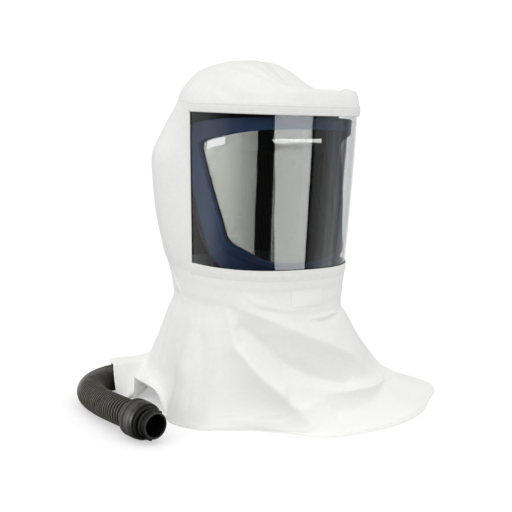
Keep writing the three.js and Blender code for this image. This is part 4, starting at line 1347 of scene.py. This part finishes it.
class HOOD_OT_bands(bpy.types.Operator):
    """Adds the stitched bands above and below the window, and the bare label on the bib"""

    bl_idname = "hood.bands"
    bl_label = "Bands and label"

    def execute(self, context):
        # The last colour is painted shade, for the brow band's loose end.
        cloth = spun_cloth("doubled_cloth_stitched", "ececea", "e7e7e4", "cdcdcb")
        columns, rows = BAND_MESH
        share = np.linspace(0, 1, rows)
        for name, node, top, foot, proud, squareness, fullness, lap in BANDS:
            roll = proud * (1 - (2 * share - 1) ** squareness) ** fullness
            for stitch in STITCH_LINES:
                roll -= STITCH_DEPTH * proud * np.exp(-(((share - stitch) / STITCH_WIDTH) ** 2))
            edge = window_edge(top)
            angle = np.linspace(-1, 1, columns)[:, None] * (edge + BAND_OVERLAP)
            ends = BAND_END_LIFT * smoothstep(np.abs(angle), edge - BAND_END_WIDTH, edge)
            loose = BAND_LOOSE_LIFT * smoothstep(angle, *BAND_LOOSE_ANGLES) * (1 - lap)
            # The very ends are sewn down on the side panels.
            down = smoothstep(np.abs(angle), edge + 0.5 * BAND_OVERLAP, edge + BAND_OVERLAP)
            lift = lerp(ends + loose, BAND_END_DIP, down)
            grid = strip_grid(
                columns, lerp(top, foot, share), lambda z: window_edge(z) + BAND_OVERLAP,
                CLOTH_STAND_OFF + roll[None, :] + lift)
            band = shell_object(name, tucked(grid) if lap else grid, BAND_THICKNESS, [cloth])
            declare(band, node)
            # The loose end at the brow gets painted shade, a greyer colour.
            places = np.array([point.co for point in band.data.vertices]) - HEAD_AXIS
            turn = np.degrees(np.arctan2(places[:, 0], -places[:, 1]))
            mark(band, "painted_light_and_shade", smoothstep(turn, *GREY_END_ANGLES) * (1 - lap))
        columns, rows = LABEL_MESH
        grid = cape_grid(*pairs(np.linspace(*LABEL_ANGLES, columns), np.linspace(*LABEL_DROPS, rows)))
        grid = grid + grid_normals(grid, False) * LABEL_STAND_OFF
        film = bare_film("label_film_white", "f2f2f1")
        label = shell_object("bib_label_film", grid, LABEL_THICKNESS, [film])
        declare(label, "bib_label")
        return {"FINISHED"}


class HOOD_OT_window(bpy.types.Operator):
    """Adds the clear window sheet of the hood"""

    bl_idname = "hood.window"
    bl_label = "Window sheet"

    def execute(self, context):
        thickness = context.scene.hood_sizes.window / MM
        film = clear_sheet("window_film_clear", 1.52, "f7f8f8", 0.03)
        columns, rows = WINDOW_MESH
        heights = np.linspace(WINDOW_TOP_Z + WINDOW_LAP, WINDOW_FOOT_Z - WINDOW_LAP, rows)
        grid = strip_grid(columns, heights, lambda z: window_edge(z) + WINDOW_LAP_ANGLE, 0)
        sheet = shell_object("window_film", grid, thickness, [film])
        declare(sheet, "hood_visor")
        mirror_cards(sheet, "window_mirrors")
        return {"FINISHED"}


class HOOD_OT_shield(bpy.types.Operator):
    """Adds the face shield: its frame, its clear visor and the bare tab on it"""

    bl_idname = "hood.shield"
    bl_label = "Face shield"

    def execute(self, context):
        navy = moulded_plastic("navy_nylon_moulded", "1a263e", context.scene.hood_colours.shield, 0.3, 0.5)
        self.add_frame(navy)
        self.add_visor(clear_sheet("shield_polycarbonate_clear", 1.585, "f4f5f5", 0.02))
        tab = dress("visor_tab", bare_film("tab_film_white", "f8f8f7"))
        piece_set("shield_pieces").objects.link(tab)
        return {"FINISHED"}

    def add_frame(self, material):
        """The frame around the opening, with a bead at the chin and marks of painted light and shade."""
        stations = frame_stations()
        across = np.array(FRAME_ACROSS)
        behind = across[::FRAME_BACK_STEP]
        beads, rounding = np.interp(across, *FRAME_BEAD), np.interp(across, *FRAME_ROUNDING)
        front = [
            frame_point(stations, share, edge - bead * stations[:, 4])
            for share, bead, edge in zip(across, beads, rounding)
        ]
        back = [frame_point(stations, share, FRAME_DEPTH) for share in behind]
        shield = swept_object("shield_frame_moulded", np.stack(front + back[::-1], 1), [material])
        declare(shield, "shield_frame")
        # Painted light and shade: the sides are painted paler, as if lit, and the chin and the brow's upper
        # edge darker, as if in shade.
        row = np.linspace(0, len(FRAME_ROWS) - 1, len(stations) // 2 + 1)
        shade = FRAME_BROW_SHADE * (1 - smoothstep(row, *FRAME_BROW_ROWS))
        pale = 1 - shade[:, None] * np.append(across, behind[::-1])
        pale = between(FRAME_PALE, 1, row)[:, None] * pale
        mark(shield, "wear_and_painted_light", np.concatenate([pale, pale[1:-1][::-1]]).ravel())
        piece_set("shield_pieces").objects.link(shield)

    def add_visor(self, material):
        """The clear visor behind the frame's opening, with a moulded lip along its top."""
        corner = FRAME_ROWS[VISOR_CORNER_ROW][1]
        columns, rows = VISOR_MESH
        share, down = pairs(np.linspace(-1, 1, columns), np.linspace(0, 1, rows))
        angle = share * corner
        top, foot = opening_edges(angle)
        z = lerp(top + VISOR_LAP, foot - VISOR_LAP, down)
        lip = LIP_HEIGHT * np.exp(-(((top - LIP_DROP - z) / LIP_WIDTH) ** 2))
        lip *= smoothstep(angle, *LIP_START_ANGLES) * (1 - smoothstep(angle, *LIP_END_ANGLES))
        grid = shield_point(share * (corner + VISOR_LAP_ANGLE), z, FRAME_DEPTH + VISOR_SEAT - lip)
        visor = shell_object("shield_visor_sheet", grid, VISOR_THICKNESS, [material])
        declare(visor, "shield_visor")
        mirror_cards(visor, "shield_mirrors")


class HOOD_OT_seal(bpy.types.Operator):
    """Adds the knitted face seal and finishes the carrier band behind it"""

    bl_idname = "hood.seal"
    bl_label = "Face seal"

    def execute(self, context):
        # The seal is a real piece; its dark knit also serves as painted shade for the dim inside of the hood.
        knit = ribbed_knit("seal_knit_dark", "2e2f2c", "1b1c1a")
        stations = frame_stations()
        start = frame_point(stations, SEAL_RIM, FRAME_DEPTH + GAP)
        clock = np.arctan2(start[:, 0], start[:, 2] - FACE_Z)
        end_y = np.where(np.cos(clock) > 0, FACE_BROW_Y, FACE_CHIN_Y)
        end = np.stack([
            FACE_HALF_WIDTH * np.sin(clock),
            lerp(FACE_TEMPLE_Y, end_y, np.cos(clock) ** 2),
            FACE_Z + FACE_HALF_HEIGHT * np.cos(clock),
        ], -1)
        way = np.linspace(0, len(SEAL_WAY) - 1, SEAL_STEPS)
        back, inward = between(SEAL_WAY, 1, way), between(SEAL_WAY, 2, way)
        share = np.stack([inward, back, inward], -1)[None]
        grid = start[:, None] + (end - start)[:, None] * share
        seal = shell_object("face_seal_knit", grid, SEAL_THICKNESS, [knit], ring=True)
        declare(seal, "face_seal")
        dress("air_carrier", moulded_plastic("carrier_nylon_moulded", "1a1a19", "2c2c2a", 0.5, 0.5))
        return {"FINISHED"}


class HOOD_PT_looks(bpy.types.Panel):
    """Settings of the hood, and a button for each group of its pieces"""

    bl_idname = "HOOD_PT_looks"
    bl_label = "Respirator hood"
    bl_space_type = "VIEW_3D"
    bl_region_type = "UI"
    bl_category = "Hood"

    def draw(self, context):
        for group in (context.scene.hood_sizes, context.scene.hood_colours):
            for key in type(group).__annotations__:
                self.layout.prop(group, key)
        for operator in OPERATORS:
            self.layout.operator(operator.bl_idname)


OPERATORS = (
    HOOD_OT_stage, HOOD_OT_hose, HOOD_OT_cloth, HOOD_OT_bands, HOOD_OT_window, HOOD_OT_shield, HOOD_OT_seal,
)
CLASSES = (HoodSizes, HoodColours, *OPERATORS, HOOD_PT_looks)


def register():
    for cls in CLASSES:
        bpy.utils.register_class(cls)
    bpy.types.Scene.hood_sizes = bpy.props.PointerProperty(type=HoodSizes)
    bpy.types.Scene.hood_colours = bpy.props.PointerProperty(type=HoodColours)


def unregister():
    del bpy.types.Scene.hood_sizes
    del bpy.types.Scene.hood_colours
    for cls in reversed(CLASSES):
        bpy.utils.unregister_class(cls)


def main():
    register()
    bpy.ops.hood.stage()
    bpy.ops.hood.hose()
    bpy.ops.hood.cloth()
    bpy.ops.hood.bands()
    bpy.ops.hood.window()
    bpy.ops.hood.shield()
    bpy.ops.hood.seal()
    boxes = {"cad": CAD_BOX, "visual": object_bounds()}
    {key: [list(map(float, corner)) for corner in box] for key, box in boxes.items()}


if __name__ == "__main__":
    main()
